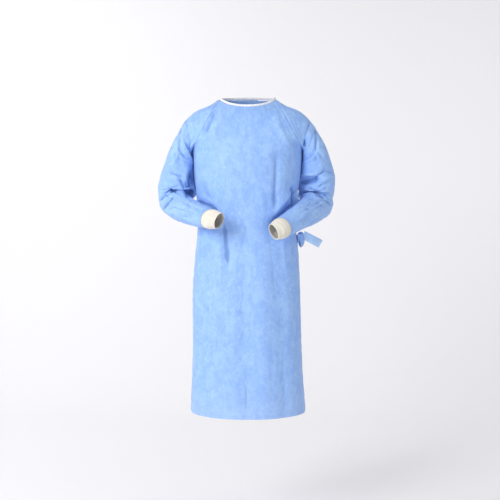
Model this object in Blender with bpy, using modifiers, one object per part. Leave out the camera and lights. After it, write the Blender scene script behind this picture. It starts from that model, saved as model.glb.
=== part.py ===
"""Surgical gown, worn pose, as hollow cloth walls: front, two overlapped backs, raglan sleeves,
knit cuffs, neck binding, neck tab and a belt tied at the side.

Metres, +Z up. The front faces -Y and the gown's own left is +X. The origin is the middle of the
base of the neck, level with the points where the shoulders meet the neck binding.
"""
import math

import bpy
import numpy as np

# Driving dimensions
CLOTH_WALL = 0.0012
KNIT_WALL = 0.0020
BINDING_WALL = 0.0022
BINDING_HEIGHT = 0.0095
BELT_WIDTH = 0.032
BELT_WALL = 0.0012
BELT_Z = -0.520
BELT_CLEAR = 0.0022
BELT_STACK = 0.0028
SEAM_GAP = 0.0003
NECK_END_EXTRA = 0.0004
NECK_END_ROWS = 4
TAB_SIZE = (0.046, 0.025)
TAB_WALL = 0.0012
LAP_DROP = 0.0034
CUFF_LENGTH = 0.066
CUFF_TURN = math.radians(24)
CUFF_END_RADIUS = 0.0305
KNOT_SIZE = (0.024, 0.026, 0.030)
KNOT_CENTRE = (0.20125, 0.012, -0.513)
LOOP_LENGTH = 0.046
LOOP_WIDTH = 0.026
LOOP_TOP = (0.2030, -0.0108, -0.5090)
LOOP_LEAN = math.radians(3)
TAIL_BACK_LENGTH = 0.170
TAIL_BACK_START = 0.029
TAIL_BACK_DRIFT = 0.030
NECK_HALF_WIDTH = 0.1085
NECK_RISE = 0.0010
NECK_ANGLE = 24
BINDING_LEAN = 0.30
SHOULDER_SLOPE = math.radians(25)
UNDERARM_WAY = (0.62, 0.0, -0.78)
SLEEVE_PULL = 1.22
FLATNESS = 1.05
LAP_TOP, LAP_GAIN, LAP_CURVE = 0.30, 0.16, 0.8
BAND_START, BAND_END = 0.30, 0.955
TAB_TOP = 0.045
TAB_ACROSS = (-0.60, -0.32, -0.12, 0.02, 0.10, 0.16, 0.24, 0.40)
RAGLAN_RUN = 0.235
HEM_EASE = 0.045
HEM_RISE, HEM_RISE_TOP = 0.009, -0.95

# Grid sizes: cells across and along each panel
FRONT_CELLS = 28
BACK_SIDE_CELLS = 9
LAP_CELLS = 9
SEAM_CELLS = 10
NECK_CELLS = 2
BODY_CELLS = 20
CUFF_CELLS = 4
BAND_CELLS = 14
TAIL_CELLS = 6
LOOP_CELLS = 18
LEFT, RIGHT = 1, -1

# Upper body, from the neck edge down to the underarm. Share is the way down the raglan seam,
# the middle columns give the centre line, and the seam columns the point on the raglan seam.
UPPER_COLUMNS = ("share", "mid_y", "mid_z", "seam_x", "seam_y", "seam_z", "sweep")
UPPER_FRONT = (
    (0.00, -0.0850, -0.0380, 0.1045, -0.0300, -0.0040, 68),
    (0.15, -0.0985, -0.0600, 0.1190, -0.0600, -0.0310, 66),
    (0.35, -0.1125, -0.0870, 0.1380, -0.0860, -0.0670, 66),
    (0.60, -0.1240, -0.1230, 0.1610, -0.0985, -0.1130, 68),
    (0.80, -0.1300, -0.1540, 0.1820, -0.0880, -0.1500, 74),
    (0.92, -0.1325, -0.1740, 0.1985, -0.0580, -0.1760, 82),
    (1.00, -0.1340, -0.1900, 0.2065, 0.0050, -0.1920, 90),
)
UPPER_BACK = (
    (0.00, 0.0700, 0.0100, 0.1045, 0.0280, 0.0010, 68),
    (0.15, 0.0840, -0.0160, 0.1200, 0.0540, -0.0240, 66),
    (0.35, 0.0990, -0.0520, 0.1400, 0.0800, -0.0610, 66),
    (0.60, 0.1120, -0.1010, 0.1630, 0.0940, -0.1090, 68),
    (0.80, 0.1190, -0.1430, 0.1840, 0.0850, -0.1480, 74),
    (0.92, 0.1225, -0.1690, 0.1990, 0.0580, -0.1750, 82),
    (1.00, 0.1240, -0.1900, 0.2065, 0.0050, -0.1920, 90),
)

# Lower body, from the underarm down to the hem: side lines left and right, front and back depth.
LOWER_COLUMNS = ("z", "left_x", "right_x", "side_y", "front_y", "back_y")
LOWER_BODY = (
    (-0.192, 0.2065, 0.2065, 0.005, -0.134, 0.124),
    (-0.235, 0.2040, 0.2040, 0.005, -0.138, 0.127),
    (-0.285, 0.1990, 0.1995, 0.004, -0.139, 0.127),
    (-0.340, 0.1900, 0.1940, 0.003, -0.137, 0.122),
    (-0.390, 0.1810, 0.1890, 0.002, -0.130, 0.115),
    (-0.440, 0.1790, 0.1865, 0.001, -0.125, 0.109),
    (-0.490, 0.1825, 0.1875, 0.000, -0.124, 0.105),
    (-0.525, 0.1865, 0.1900, 0.000, -0.126, 0.104),
    (-0.570, 0.1910, 0.1950, 0.001, -0.131, 0.112),
    (-0.640, 0.1950, 0.2010, 0.002, -0.137, 0.126),
    (-0.720, 0.1985, 0.2060, 0.003, -0.142, 0.139),
    (-0.810, 0.2005, 0.2065, 0.004, -0.145, 0.147),
    (-0.900, 0.2025, 0.2055, 0.004, -0.147, 0.152),
    (-1.060, 0.2100, 0.2090, 0.004, -0.152, 0.157),
    (-1.135, 0.2155, 0.2120, 0.004, -0.155, 0.160),
    (-1.178, 0.2185, 0.2130, 0.004, -0.157, 0.162),
)

# Sleeve rings from below the armhole to the wrist. Out is the half-size towards the elbow's
# tip, across the half-size at right angles to it; at places each ring along the sleeve.
RING_COLUMNS = ("at", "x", "y", "z", "out", "across")
SLEEVE_RINGS = {
    LEFT: (
        (0.40, 0.2575, 0.020, -0.228, 0.0515, 0.0660),
        (0.50, 0.2615, 0.038, -0.290, 0.0645, 0.0640),
        (0.58, 0.2570, 0.046, -0.345, 0.0655, 0.0610),
        (0.66, 0.2570, 0.036, -0.392, 0.0600, 0.0560),
        (0.75, 0.2335, -0.034, -0.4165, 0.0515, 0.0530),
        (0.87, 0.1915, -0.110, -0.4445, 0.0450, 0.0460),
        (1.00, 0.1420, -0.170, -0.478, 0.0385, 0.0385),
    ),
    RIGHT: (
        (0.40, 0.2575, 0.020, -0.228, 0.0515, 0.0660),
        (0.50, 0.2625, 0.038, -0.288, 0.0645, 0.0640),
        (0.58, 0.2640, 0.046, -0.338, 0.0710, 0.0620),
        (0.66, 0.2670, 0.036, -0.380, 0.0610, 0.0560),
        (0.75, 0.2435, -0.034, -0.4055, 0.0515, 0.0520),
        (0.87, 0.1955, -0.110, -0.4320, 0.0435, 0.0460),
        (1.00, 0.1490, -0.170, -0.460, 0.0385, 0.0385),
    ),
}
SLEEVE_ROWS = (0, 0.03, 0.07, 0.13, 0.20, 0.27, 0.33, 0.38, 0.43, 0.48, 0.525, 0.565, 0.60,
               0.63, 0.66, 0.69, 0.72, 0.75, 0.785, 0.82, 0.86, 0.90, 0.94, 0.97, 1.0)

# Folds on the front and back, seen square on: a soft trough (depth below zero) or ridge from one
# point to the other, in x and z, with its half-width and its depth.
FOLD_COLUMNS = ("x0", "z0", "x1", "z1", "width", "depth")
FRONT_FOLDS = (
    (-0.118, -0.040, -0.163, -0.150, 0.015, -0.0085),
    (-0.095, -0.050, -0.130, -0.170, 0.018, 0.0045),
    (0.122, -0.045, 0.178, -0.165, 0.014, -0.0085),
    (0.100, -0.060, 0.150, -0.190, 0.018, 0.0040),
    (0.112, -0.190, 0.098, -0.450, 0.016, -0.0105),
    (0.140, -0.230, 0.125, -0.400, 0.018, 0.0070),
    (0.168, -0.395, 0.080, -0.480, 0.014, -0.0090),
    (0.160, -0.345, 0.095, -0.440, 0.014, 0.0055),
    (-0.160, -0.330, -0.120, -0.470, 0.016, -0.0060),
    (-0.060, -0.250, -0.070, -0.420, 0.030, 0.0050),
    (-0.085, -0.470, -0.072, -0.690, 0.017, -0.0125),
    (-0.110, -0.500, -0.112, -0.900, 0.024, 0.0080),
    (-0.020, -0.560, -0.010, -1.170, 0.028, -0.0065),
    (0.045, -0.540, 0.070, -1.180, 0.028, 0.0065),
    (0.110, -0.560, 0.140, -1.180, 0.024, -0.0080),
    (-0.150, -0.620, -0.165, -1.180, 0.022, -0.0065),
)
BACK_FOLDS = (
    (-0.080, -0.080, -0.135, -0.170, 0.018, -0.0070),
    (0.080, -0.080, 0.135, -0.170, 0.018, -0.0070),
    (-0.045, -0.120, -0.060, -0.480, 0.020, 0.0075),
    (0.060, -0.150, 0.050, -0.470, 0.018, -0.0085),
    (-0.120, -0.330, -0.095, -0.700, 0.018, -0.0105),
    (0.135, -0.380, 0.125, -0.660, 0.016, -0.0080),
    (-0.070, -0.540, -0.085, -1.170, 0.026, 0.0085),
    (-0.020, -0.560, -0.015, -1.180, 0.024, -0.0080),
    (-0.150, -0.580, -0.165, -1.180, 0.022, -0.0075),
    (0.140, -0.600, 0.160, -1.180, 0.022, 0.0070),
)

# Elbow and armpit folds of a sleeve: place along it, angle round it in degrees (0 at the top
# and outside, 90 in front, 180 beneath), half-lengths along and round, lean, and depth.
CREASE_COLUMNS = ("at", "angle", "long", "round", "lean", "depth")
SLEEVE_CREASES = (
    (0.30, 95, 0.020, 42, 0.0012, -0.0085),
    (0.36, 130, 0.018, 30, 0.0010, 0.0060),
    (0.24, 60, 0.020, 30, -0.0010, -0.0045),
    (0.475, 100, 0.014, 50, 0.0006, -0.0050),
    (0.555, 130, 0.013, 62, 0.0004, -0.0080),
    (0.595, 140, 0.012, 70, 0.0002, 0.0060),
    (0.635, 150, 0.013, 66, -0.0002, -0.0090),
    (0.680, 145, 0.012, 60, -0.0004, 0.0050),
    (0.725, 130, 0.013, 50, -0.0006, -0.0050),
    (0.620, 20, 0.016, 34, 0.0008, -0.0045),
    (0.700, -40, 0.016, 34, 0.0006, -0.0040),
    (0.860, 60, 0.014, 44, 0.0010, -0.0030),
)

# The middle line of the belt's front end: at is the share of its length.
PATH_COLUMNS = ("at", "x", "y", "z")
TAIL_FRONT = (
    (0.00, 0.2176, 0.012, -0.5093),
    (0.35, 0.2350, 0.009, -0.5210),
    (0.70, 0.2565, 0.006, -0.5320),
    (1.00, 0.2760, 0.004, -0.5430),
)

COLOURS = {
    "gown_cloth": ((0.33, 0.55, 0.93, 1), 0.62),
    "white_binding": ((0.90, 0.91, 0.94, 1), 0.70),
    "cream_knit": ((0.90, 0.87, 0.77, 1), 0.85),
    "hook_and_loop": ((0.86, 0.88, 0.92, 1), 0.80),
}


def column(table, columns, name):
    """One named column of a table, as an array."""
    return np.array([row[columns.index(name)] for row in table], float)


def smooth(keys, values, at):
    """A smooth curve through the values at the keys, read at the places asked for.

    Each stretch is a cubic whose end slopes are those of the line through the two
    neighbouring keys.
    """
    keys, values, at = np.asarray(keys, float), np.asarray(values, float), np.asarray(at, float)
    slopes = np.gradient(values, keys, axis=0)
    cell = np.clip(np.searchsorted(keys, at, side="right") - 1, 0, len(keys) - 2)
    step = keys[cell + 1] - keys[cell]
    t = (at - keys[cell]) / step
    if values.ndim > 1:
        t, step = t[:, None], step[:, None]
    rise = values[cell + 1] - values[cell]
    start, end = slopes[cell] * step, slopes[cell + 1] * step
    low = values[cell] + t * start
    return low + t**2 * (3 * rise - 2 * start - end) + t**3 * (start + end - 2 * rise)


def unit(vectors):
    """The vectors at length one."""
    length = np.linalg.norm(vectors, axis=-1, keepdims=True)
    return vectors / np.maximum(length, 1e-9)


def grid_normals(grid, round_it=False):
    """The normal at each point of a grid, from the differences along its rows and columns."""
    if round_it:
        across = np.roll(grid, -1, axis=1) - np.roll(grid, 1, axis=1)
    else:
        across = np.gradient(grid, axis=1)
    return unit(np.cross(across, np.gradient(grid, axis=0)))


def stroke(x, z, fold):
    """How strongly a fold from (x0, z0) to (x1, z1) acts at each x and z: a bell across its
    line that fades towards both ends."""
    x0, z0, x1, z1, width = fold[:5]
    run = math.hypot(x1 - x0, z1 - z0)
    dx, dz = (x1 - x0) / run, (z1 - z0) / run
    along = ((x - x0) * dx + (z - z0) * dz) / run
    off = (x - x0) * dz - (z - z0) * dx
    past = np.maximum(np.abs(along - 0.5) - 0.28, 0) / 0.26
    return np.exp(-((off / width) ** 2) - past**2)


def with_folds(grid, folds, outward):
    """The grid with each fold of the table pushed along the outward normals."""
    push = sum(fold[5] * stroke(grid[..., 0], grid[..., 2], fold) for fold in folds)
    return grid + outward * push[..., None]


def upper_share():
    """Even steps down the raglan seam, from the neck edge to the underarm."""
    return np.linspace(0, 1, SEAM_CELLS + 1)


def lower_heights():
    """Heights of the rows below the underarm, closer where the cloth is drawn in at the waist."""
    steps = np.linspace(0, 1, BODY_CELLS + 1)
    top, hem = LOWER_BODY[0][0], LOWER_BODY[-1][0]
    return top + (hem - top) * (steps - HEM_EASE * np.sin(2 * math.pi * steps))


def upper_rows(upper, share):
    """Sections of the front or back above the underarm, at shares of the way down the seam."""
    keys = column(upper, UPPER_COLUMNS, "share")
    rows = {n: smooth(keys, column(upper, UPPER_COLUMNS, n), share) for n in UPPER_COLUMNS}
    return {
        "mid_y": rows["mid_y"], "mid_z": rows["mid_z"],
        "left_x": rows["seam_x"], "right_x": rows["seam_x"],
        "end_y": rows["seam_y"], "end_z": rows["seam_z"],
        "sweep": np.radians(rows["sweep"]),
    }


def lower_rows(depth_name, z):
    """Sections of the front or back below the underarm, at the heights z, each row towards the
    hem a little higher at its sides than in the middle."""
    keys = -column(LOWER_BODY, LOWER_COLUMNS, "z")
    rows = {n: smooth(keys, column(LOWER_BODY, LOWER_COLUMNS, n), -z) for n in LOWER_COLUMNS}
    rise = HEM_RISE * np.clip((HEM_RISE_TOP - z) / (HEM_RISE_TOP - LOWER_BODY[-1][0]), 0, 1) ** 2
    return {
        "mid_y": rows[depth_name], "mid_z": z,
        "left_x": rows["left_x"], "right_x": rows["right_x"],
        "end_y": rows["side_y"], "end_z": z + rise,
        "sweep": np.full(len(z), math.pi / 2),
    }


def body_rows(upper, depth_name):
    """The sections of the front or the back, from the neck edge to the hem.

    Each is a dictionary of arrays: middle y and z, the side ends left and right, and sweep.
    """
    top, low = upper_rows(upper, upper_share()), lower_rows(depth_name, lower_heights()[1:])
    return {name: np.concatenate([top[name], low[name]]) for name in top}


def body_grid(rows, places):
    """Points of the body: for each row an arc of an ellipse, flattened a little, from the right
    side (place -1) over the middle (0) to the left side (1).

    x is the side times sin(place sweep) / sin(sweep); the way from the middle's depth and
    height to the side's is (1 - cos(place sweep)) / (1 - cos(sweep)), to the power FLATNESS.
    """
    sweep = rows["sweep"][:, None]
    place = np.asarray(places, float)[None, :]
    side = np.where(place > 0, rows["left_x"][:, None], rows["right_x"][:, None])
    x = side * np.sin(place * sweep) / np.sin(sweep)
    way = ((1 - np.cos(place * sweep)) / (1 - np.cos(sweep))) ** FLATNESS
    y = rows["mid_y"][:, None] + (rows["end_y"] - rows["mid_y"])[:, None] * way
    z = rows["mid_z"][:, None] + (rows["end_z"] - rows["mid_z"])[:, None] * way
    return np.stack([x, y, z], axis=-1)


def edge_fade(grid, reach=0.03):
    """One over most of a panel, falling to zero at its seams and neck edge, so that folds leave
    the neighbouring pieces where they are."""
    steps = np.linalg.norm(np.diff(grid, axis=1), axis=2)
    run = np.concatenate([np.zeros((len(grid), 1)), np.cumsum(steps, axis=1)], axis=1)
    inside = np.minimum(run, run[:, -1:] - run)
    drop = np.linalg.norm(np.diff(grid, axis=0), axis=2)
    down = np.concatenate([np.zeros((1, grid.shape[1])), np.cumsum(drop, axis=0)], axis=0)
    share = np.clip(np.minimum(inside, down) / reach, 0, 1)
    return share * share * (3 - 2 * share)


def front_grid():
    """The front panel, side to side and neck to hem, with its folds."""
    places = np.linspace(-1, 1, FRONT_CELLS + 1)
    grid = body_grid(body_rows(UPPER_FRONT, "front_y"), places)
    outward = grid_normals(grid)
    outward *= np.where(outward[..., 1:2] > 0.3, -1, 1)
    folded = with_folds(grid, FRONT_FOLDS, outward)
    return grid + (folded - grid) * edge_fade(grid)[..., None]


def lap_edge():
    """Where each back panel ends past the middle, as a share of the half-width, row by row."""
    rows = SEAM_CELLS + 1 + BODY_CELLS
    return LAP_TOP + LAP_GAIN * np.linspace(0, 1, rows) ** LAP_CURVE


def back_grid(side):
    """A back panel, from its side seam past the middle to its lap edge, with its folds.

    The right panel (side -1) laps over the left one, which drops inwards by LAP_DROP there.
    """
    rows = body_rows(UPPER_BACK, "back_y")
    end = lap_edge()[:, None]
    single = 1 + (end - 1) * np.linspace(0, 1, BACK_SIDE_CELLS + 1)[None, :]
    double = end * np.linspace(1, -1, LAP_CELLS + 1)[None, 1:]
    places = side * np.concatenate([single, double], axis=1)
    base = np.stack([body_grid({n: v[i:i + 1] for n, v in rows.items()}, places[i])[0]
                     for i in range(len(places))])
    outward = grid_normals(base)
    outward *= np.where(outward[..., 1:2] < 0, -1, 1)
    folded = with_folds(base, BACK_FOLDS, outward)
    seam_only = np.concatenate([base, base[:, ::-1][:, 1:]], axis=1)
    grid = base + (folded - base) * edge_fade(seam_only)[:, :places.shape[1], None]
    if side == LEFT:
        start = np.clip((1 - places) / (1 - end) * 1.15, 0, 1)
        under = start * start * (3 - 2 * start)
        grid = grid - outward * (LAP_DROP * under)[..., None]
    return grid


def neck_arc(side):
    """The short stretch of neck edge at the top of a sleeve, from the front seam to the back."""
    front, back = UPPER_FRONT[0], UPPER_BACK[0]
    t = np.linspace(-1, 1, 2 * NECK_CELLS + 1)
    bulge = NECK_HALF_WIDTH - front[3]
    x = side * (front[3] + bulge * (1 - t**2))
    y = front[4] + (back[4] - front[4]) * (t + 1) / 2
    z = front[5] + (back[5] - front[5]) * (t + 1) / 2 + NECK_RISE * (1 - t**2)
    return np.stack([x, y, z], axis=-1)


def armhole(side):
    """The closed loop that a sleeve is sewn to, and the way it leaves the body there.

    It runs from the top of the neck edge down the front seam to the underarm and up the back
    seam. The sleeve leaves along the body's own rows, so that the seam lies smooth.
    """
    share = upper_share()
    seams, leave = [], []
    for upper in (UPPER_FRONT, UPPER_BACK):
        point = np.stack([smooth(column(upper, UPPER_COLUMNS, "share"),
                                 column(upper, UPPER_COLUMNS, n), share)
                          for n in ("seam_x", "seam_y", "seam_z")], axis=-1)
        near = body_grid(upper_rows(upper, share), [0.97, 1.0])
        seams.append(point)
        leave.append(unit(near[:, 1] - near[:, 0]))
    outward = np.array([math.cos(SHOULDER_SLOPE), 0, -math.sin(SHOULDER_SLOPE)])
    low = np.array(UNDERARM_WAY)
    for way in leave:
        blend = np.clip((share - 0.55) / 0.45, 0, 1)[:, None] ** 2
        high = np.clip(1 - share / 0.35, 0, 1)[:, None]
        way[:] = unit(way * (1 - blend) * (1 - 0.75 * high) + low * blend + outward * 0.75 * high)
    arc = neck_arc(LEFT)
    middle = NECK_CELLS
    loop = np.concatenate([arc[middle::-1], seams[0][1:], seams[1][-2::-1], arc[-2:middle:-1]])
    ways = np.concatenate([np.tile(outward, (NECK_CELLS, 1)), leave[0], leave[1][-2::-1],
                           np.tile(outward, (NECK_CELLS - 1, 1))])
    mirror = np.array([side, 1, 1])
    return loop * mirror, ways * mirror


def ring_frames(side):
    """Centres, outward directions, across directions and half-sizes of the sleeve's rings.

    The outward direction starts towards the shoulder's side and is carried down the arm
    with the least turn, so that it comes to the elbow's tip and the forearm's lower side.
    """
    table = SLEEVE_RINGS[side]
    centre = np.stack([column(table, RING_COLUMNS, n) for n in ("x", "y", "z")], axis=-1)
    along = unit(np.gradient(centre, axis=0))
    outward = [np.array([1.0, 0.12, 0.25])]
    for way in along:
        outward.append(unit(outward[-1] - way * np.dot(outward[-1], way)))
    outward = np.array(outward[1:])
    forward = np.cross(along, outward)
    mirror = np.array([side, 1, 1])
    sizes = [column(table, RING_COLUMNS, n) for n in ("out", "across")]
    return centre * mirror, outward * mirror, forward * mirror, sizes


def sleeve_angles():
    """Angles of the sleeve's columns: the neck stretch takes the top, the seams the rest."""
    neck = np.linspace(0, NECK_ANGLE, NECK_CELLS + 1)
    seam = np.linspace(NECK_ANGLE, 180, SEAM_CELLS + 1)
    half = np.concatenate([neck, seam[1:]])
    return np.radians(np.concatenate([half, 360 - half[-2:0:-1]]))


def sleeve_creases(grid, at, angles, creases):
    """Push of a sleeve's folds at each point: bells in the place along and the angle round."""
    push = np.zeros(grid.shape[:2])
    for place, angle, long, around, lean, depth in creases:
        turn = (np.degrees(angles) - angle + 180) % 360 - 180
        shifted = at[:, None] - place - lean * turn[None, :]
        push += depth * np.exp(-((shifted / long) ** 2) - ((turn / around)[None, :] ** 2))
    return push


def sleeve_grid(side, rows=SLEEVE_ROWS, creases=SLEEVE_CREASES):
    """A sleeve from its armhole loop to the wrist, as a closed tube.

    Along each column a smooth curve leaves the loop in the body's direction, meets the first
    ring, and then runs through the ring points, each being centre + out cos(angle) outward
    + across sin(angle) forward.
    """
    loop, ways = armhole(side)
    angles = sleeve_angles()
    centre, outward, forward, (out, across) = ring_frames(side)
    rings = (centre[:, None] + (out[:, None] * np.cos(angles))[..., None] * outward[:, None]
             + (across[:, None] * np.sin(angles))[..., None] * forward[:, None])
    keys = column(SLEEVE_RINGS[side], RING_COLUMNS, "at")
    at = np.asarray(rows, float)
    tube = np.stack([smooth(keys, rings[:, j], np.maximum(at, keys[0]))
                     for j in range(len(angles))], axis=1)
    reach = np.linalg.norm(rings[0] - loop, axis=1)[:, None]
    first = ways * reach * SLEEVE_PULL
    last = unit(rings[1] - rings[0]) * reach * SLEEVE_PULL
    t = np.clip(at / keys[0], 0, 1)[:, None, None]
    cap = ((1 + 2 * t) * (1 - t) ** 2 * loop + t * (1 - t) ** 2 * first
           + t**2 * (3 - 2 * t) * rings[0] - t**2 * (1 - t) * last)
    grid = np.where(at[:, None, None] < keys[0], cap, tube)
    normals = grid_normals(grid, round_it=True)
    normals = normals * np.sign(np.sum(normals * (grid - grid.mean(axis=1, keepdims=True)),
                                       axis=(1, 2)))[:, None, None]
    fade = np.clip(at / 0.10, 0, 1) * np.clip((1 - at) / 0.06, 0, 1)
    return grid + normals * (sleeve_creases(grid, at, angles, creases) * fade[:, None])[..., None]


def new_material(name):
    """A Principled material with the part's colour and roughness."""
    colour, roughness = COLOURS[name]
    material = bpy.data.materials.new(name)
    material.use_nodes = True
    shader = material.node_tree.nodes["Principled BSDF"]
    shader.inputs["Base Color"].default_value = colour
    shader.inputs["Roughness"].default_value = roughness
    shader.inputs["Metallic"].default_value = 0.0
    return material


def drawn_in(grid, top=False, bottom=False, first=False, last=False, gap=SEAM_GAP / 2):
    """The grid with its named edges moved inwards by half a seam's gap.

    The side edges move a little more near the neck, where the pieces meet at a sharper turn.
    """
    grid = grid.copy()
    neck_end = np.clip(1 - np.arange(len(grid)) / NECK_END_ROWS, 0, 1)[:, None]
    side_gap = gap + NECK_END_EXTRA * neck_end
    if top:
        grid[0] += unit(grid[1] - grid[0]) * gap
    if bottom:
        grid[-1] += unit(grid[-2] - grid[-1]) * gap
    if first:
        grid[:, 0] += unit(grid[:, 1] - grid[:, 0]) * side_gap
    if last:
        grid[:, -1] += unit(grid[:, -2] - grid[:, -1]) * side_gap
    return grid


def cloth(name, grid, material, collection, wall, round_it=False, outside=None):
    """A cloth wall: the grid as an open surface, thickened inwards by Solidify."""
    rows, cells = grid.shape[:2]
    index = np.arange(rows * cells).reshape(rows, cells)
    right = np.roll(index, -1, axis=1) if round_it else index[:, 1:]
    left = index if round_it else index[:, :-1]
    quads = np.stack([left[:-1], right[:-1], right[1:], left[1:]], axis=-1).reshape(-1, 4)
    corner = grid.reshape(-1, 3)[quads]
    facing = np.cross(corner[:, 1] - corner[:, 0], corner[:, 3] - corner[:, 0])
    aim = outside if outside is not None else corner.mean(axis=1) - grid.reshape(-1, 3).mean(axis=0)
    if np.sum(facing * aim) < 0:
        quads = quads[:, ::-1]
    mesh = bpy.data.meshes.new(name)
    mesh.from_pydata(grid.reshape(-1, 3).tolist(), [], quads.tolist())
    mesh.shade_smooth()
    panel = bpy.data.objects.new(name, mesh)
    collection.objects.link(panel)
    panel.data.materials.append(material)
    thick = panel.modifiers.new("wall", "SOLIDIFY")
    thick.thickness = wall
    thick.offset = -1
    return panel


def tube_facing(grid):
    """For each cell of a closed tube, the way from the tube's middle line to the cell."""
    middle = grid.mean(axis=1, keepdims=True)
    away = grid - middle
    return ((away[:-1] + away[1:]) / 2).reshape(-1, 3)


def cuff_grid(side):
    """A knit cuff: rings carried on from the sleeve's end, full at first, then drawn in.

    Its line turns from the forearm's direction towards the middle by CUFF_TURN,
    and each ring is turned with it.
    """
    centre, outward, forward, (out, _) = ring_frames(side)
    along = unit(centre[-1] - centre[-2])
    angles = sleeve_angles()
    way = np.linspace(0, 1, CUFF_CELLS + 1)
    turn = -side * CUFF_TURN * way
    cos, sin = np.cos(turn), np.sin(turn)

    def turned(vector):
        return np.stack([cos * vector[0] - sin * vector[1], sin * vector[0] + cos * vector[1],
                         np.full(len(way), vector[2])], axis=-1)

    radius = out[-1] - 0.0004 + 0.0022 * np.sin(math.pi * np.minimum(way * 1.6, 1))
    radius -= (out[-1] - CUFF_END_RADIUS) * way**1.5
    steps = turned(along) * (CUFF_LENGTH / CUFF_CELLS)
    line = centre[-1] + along * SEAM_GAP + np.cumsum(steps, axis=0) - steps[0]
    ring = (np.cos(angles)[None, :, None] * turned(outward[-1])[:, None]
            + np.sin(angles)[None, :, None] * turned(forward[-1])[:, None])
    return line[:, None] + ring * radius[:, None, None]


def neck_edge():
    """The whole neck edge from the outer lap end round the front to the inner lap end, and a
    flag that grows from zero to one where it drops under the outer lap."""
    edge = float(lap_edge()[0])
    neck = np.zeros(1)
    front = body_grid(upper_rows(UPPER_FRONT, neck), np.linspace(-1, 1, FRONT_CELLS // 2 + 1))[0]
    rows = upper_rows(UPPER_BACK, neck)
    outer = body_grid(rows, np.linspace(edge, -1, 12))[0]
    inner = body_grid(rows, np.linspace(1, -edge, 12))[0]
    right, left = neck_arc(RIGHT)[::-1], neck_arc(LEFT)
    line = np.concatenate([outer, right[1:], front[1:], left[1:], inner[1:]])
    drop = np.concatenate([np.zeros(len(line) - len(inner)), np.linspace(0, 1, len(inner))])
    drop = np.clip(drop / 0.45, 0, 1)
    return line, drop * drop * (3 - 2 * drop)


def binding_grid():
    """The neck binding: a strip that carries the neck edge on upwards and slightly inwards."""
    line, drop = neck_edge()
    tangent = unit(np.gradient(line, axis=0))
    outward = unit(np.cross(np.array([0, 0, 1.0]), tangent) * -1)
    outward *= np.sign(np.sum(outward * (line - line.mean(axis=0)), axis=1, keepdims=True))
    line = line - outward * (LAP_DROP * drop)[:, None]
    rise = unit(np.array([0, 0, 1.0]) - outward * BINDING_LEAN)
    levels = np.array([SEAM_GAP, BINDING_HEIGHT * 0.5, BINDING_HEIGHT])
    bow = np.array([0.0002, 0.0006, 0.0])
    return line[None] + rise[None] * levels[:, None, None] + outward[None] * bow[:, None, None]


def back_surface(rows, places):
    """Points on the outer lap's level of the back, with its folds, and the outward normals."""
    base = body_grid(rows, places)
    outward = grid_normals(base)
    outward *= np.where(outward[..., 1:2] < 0, -1, 1)
    return with_folds(base, BACK_FOLDS, outward), outward


def belt_band_grid():
    """The belt from the outer lap's edge round the gown's left to the knot at the side."""
    levels = BELT_Z + BELT_WIDTH * np.linspace(0.5, -0.5, 3)
    places = np.linspace(BAND_START, BAND_END, BAND_CELLS + 1)
    surface, outward = back_surface(lower_rows("back_y", levels), places)
    return surface + outward * (BELT_CLEAR + BELT_WALL)


def ribbon(line, width_ways, width, bow=0.0):
    """A strip of cloth: the line moved half the width each way along its width directions.

    Its middle is raised by bow along the strip's own normal.
    """
    along = unit(np.gradient(line, axis=0))
    ways = unit(width_ways - along * np.sum(width_ways * along, axis=1, keepdims=True))
    normal = np.cross(along, ways)
    shares = np.array([-0.5, 0.0, 0.5])
    lift = bow * (1 - (2 * shares) ** 2)
    return (line[:, None] + ways[:, None] * (shares * width)[None, :, None]
            + normal[:, None] * lift[None, :, None])


def tail_front_grid():
    """The belt's free end that stands out at the side, its face to the front."""
    t = np.linspace(0, 1, TAIL_CELLS + 1)
    line = smooth(column(TAIL_FRONT, PATH_COLUMNS, "at"), path_points(TAIL_FRONT), t)
    ways = smooth([0, 1], np.array([[0.20, 0.55, 0.80], [0.34, 0.12, 0.93]]), t)
    return ribbon(line, ways, BELT_WIDTH, bow=0.0016)


def tail_back_grid():
    """The belt's other end: from the knot it crosses the band and hangs down the left back.

    Each row is read off the back's surface at set lengths of cloth from the side line.
    """
    t = np.concatenate([[0.0, 0.05, 0.10], np.linspace(0.16, 1, TAIL_CELLS)])
    z = BELT_Z - 0.006 - TAIL_BACK_LENGTH * t
    surface, outward = back_surface(lower_rows("back_y", z), np.linspace(1.0, 0.4, 61))
    steps = np.linalg.norm(np.diff(surface, axis=1), axis=2)
    run = np.concatenate([np.zeros((len(z), 1)), np.cumsum(steps, axis=1)], axis=1)
    over_band = np.clip((z - (BELT_Z - 0.6 * BELT_WIDTH)) / 0.003, 0, 1) * BELT_STACK
    raised = surface + outward * (BELT_CLEAR + BELT_WALL + over_band)[:, None, None]
    away = TAIL_BACK_START + TAIL_BACK_DRIFT * t
    lengths = away[:, None] + BELT_WIDTH * np.array([[-0.5, 0.0, 0.5]])
    return np.stack([[[np.interp(length, run[i], raised[i, :, k]) for k in range(3)]
                      for length in lengths[i]] for i in range(len(z))])


def path_points(table):
    """The x, y and z columns of a path table, as points."""
    return np.stack([column(table, PATH_COLUMNS, n) for n in ("x", "y", "z")], axis=-1)


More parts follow.
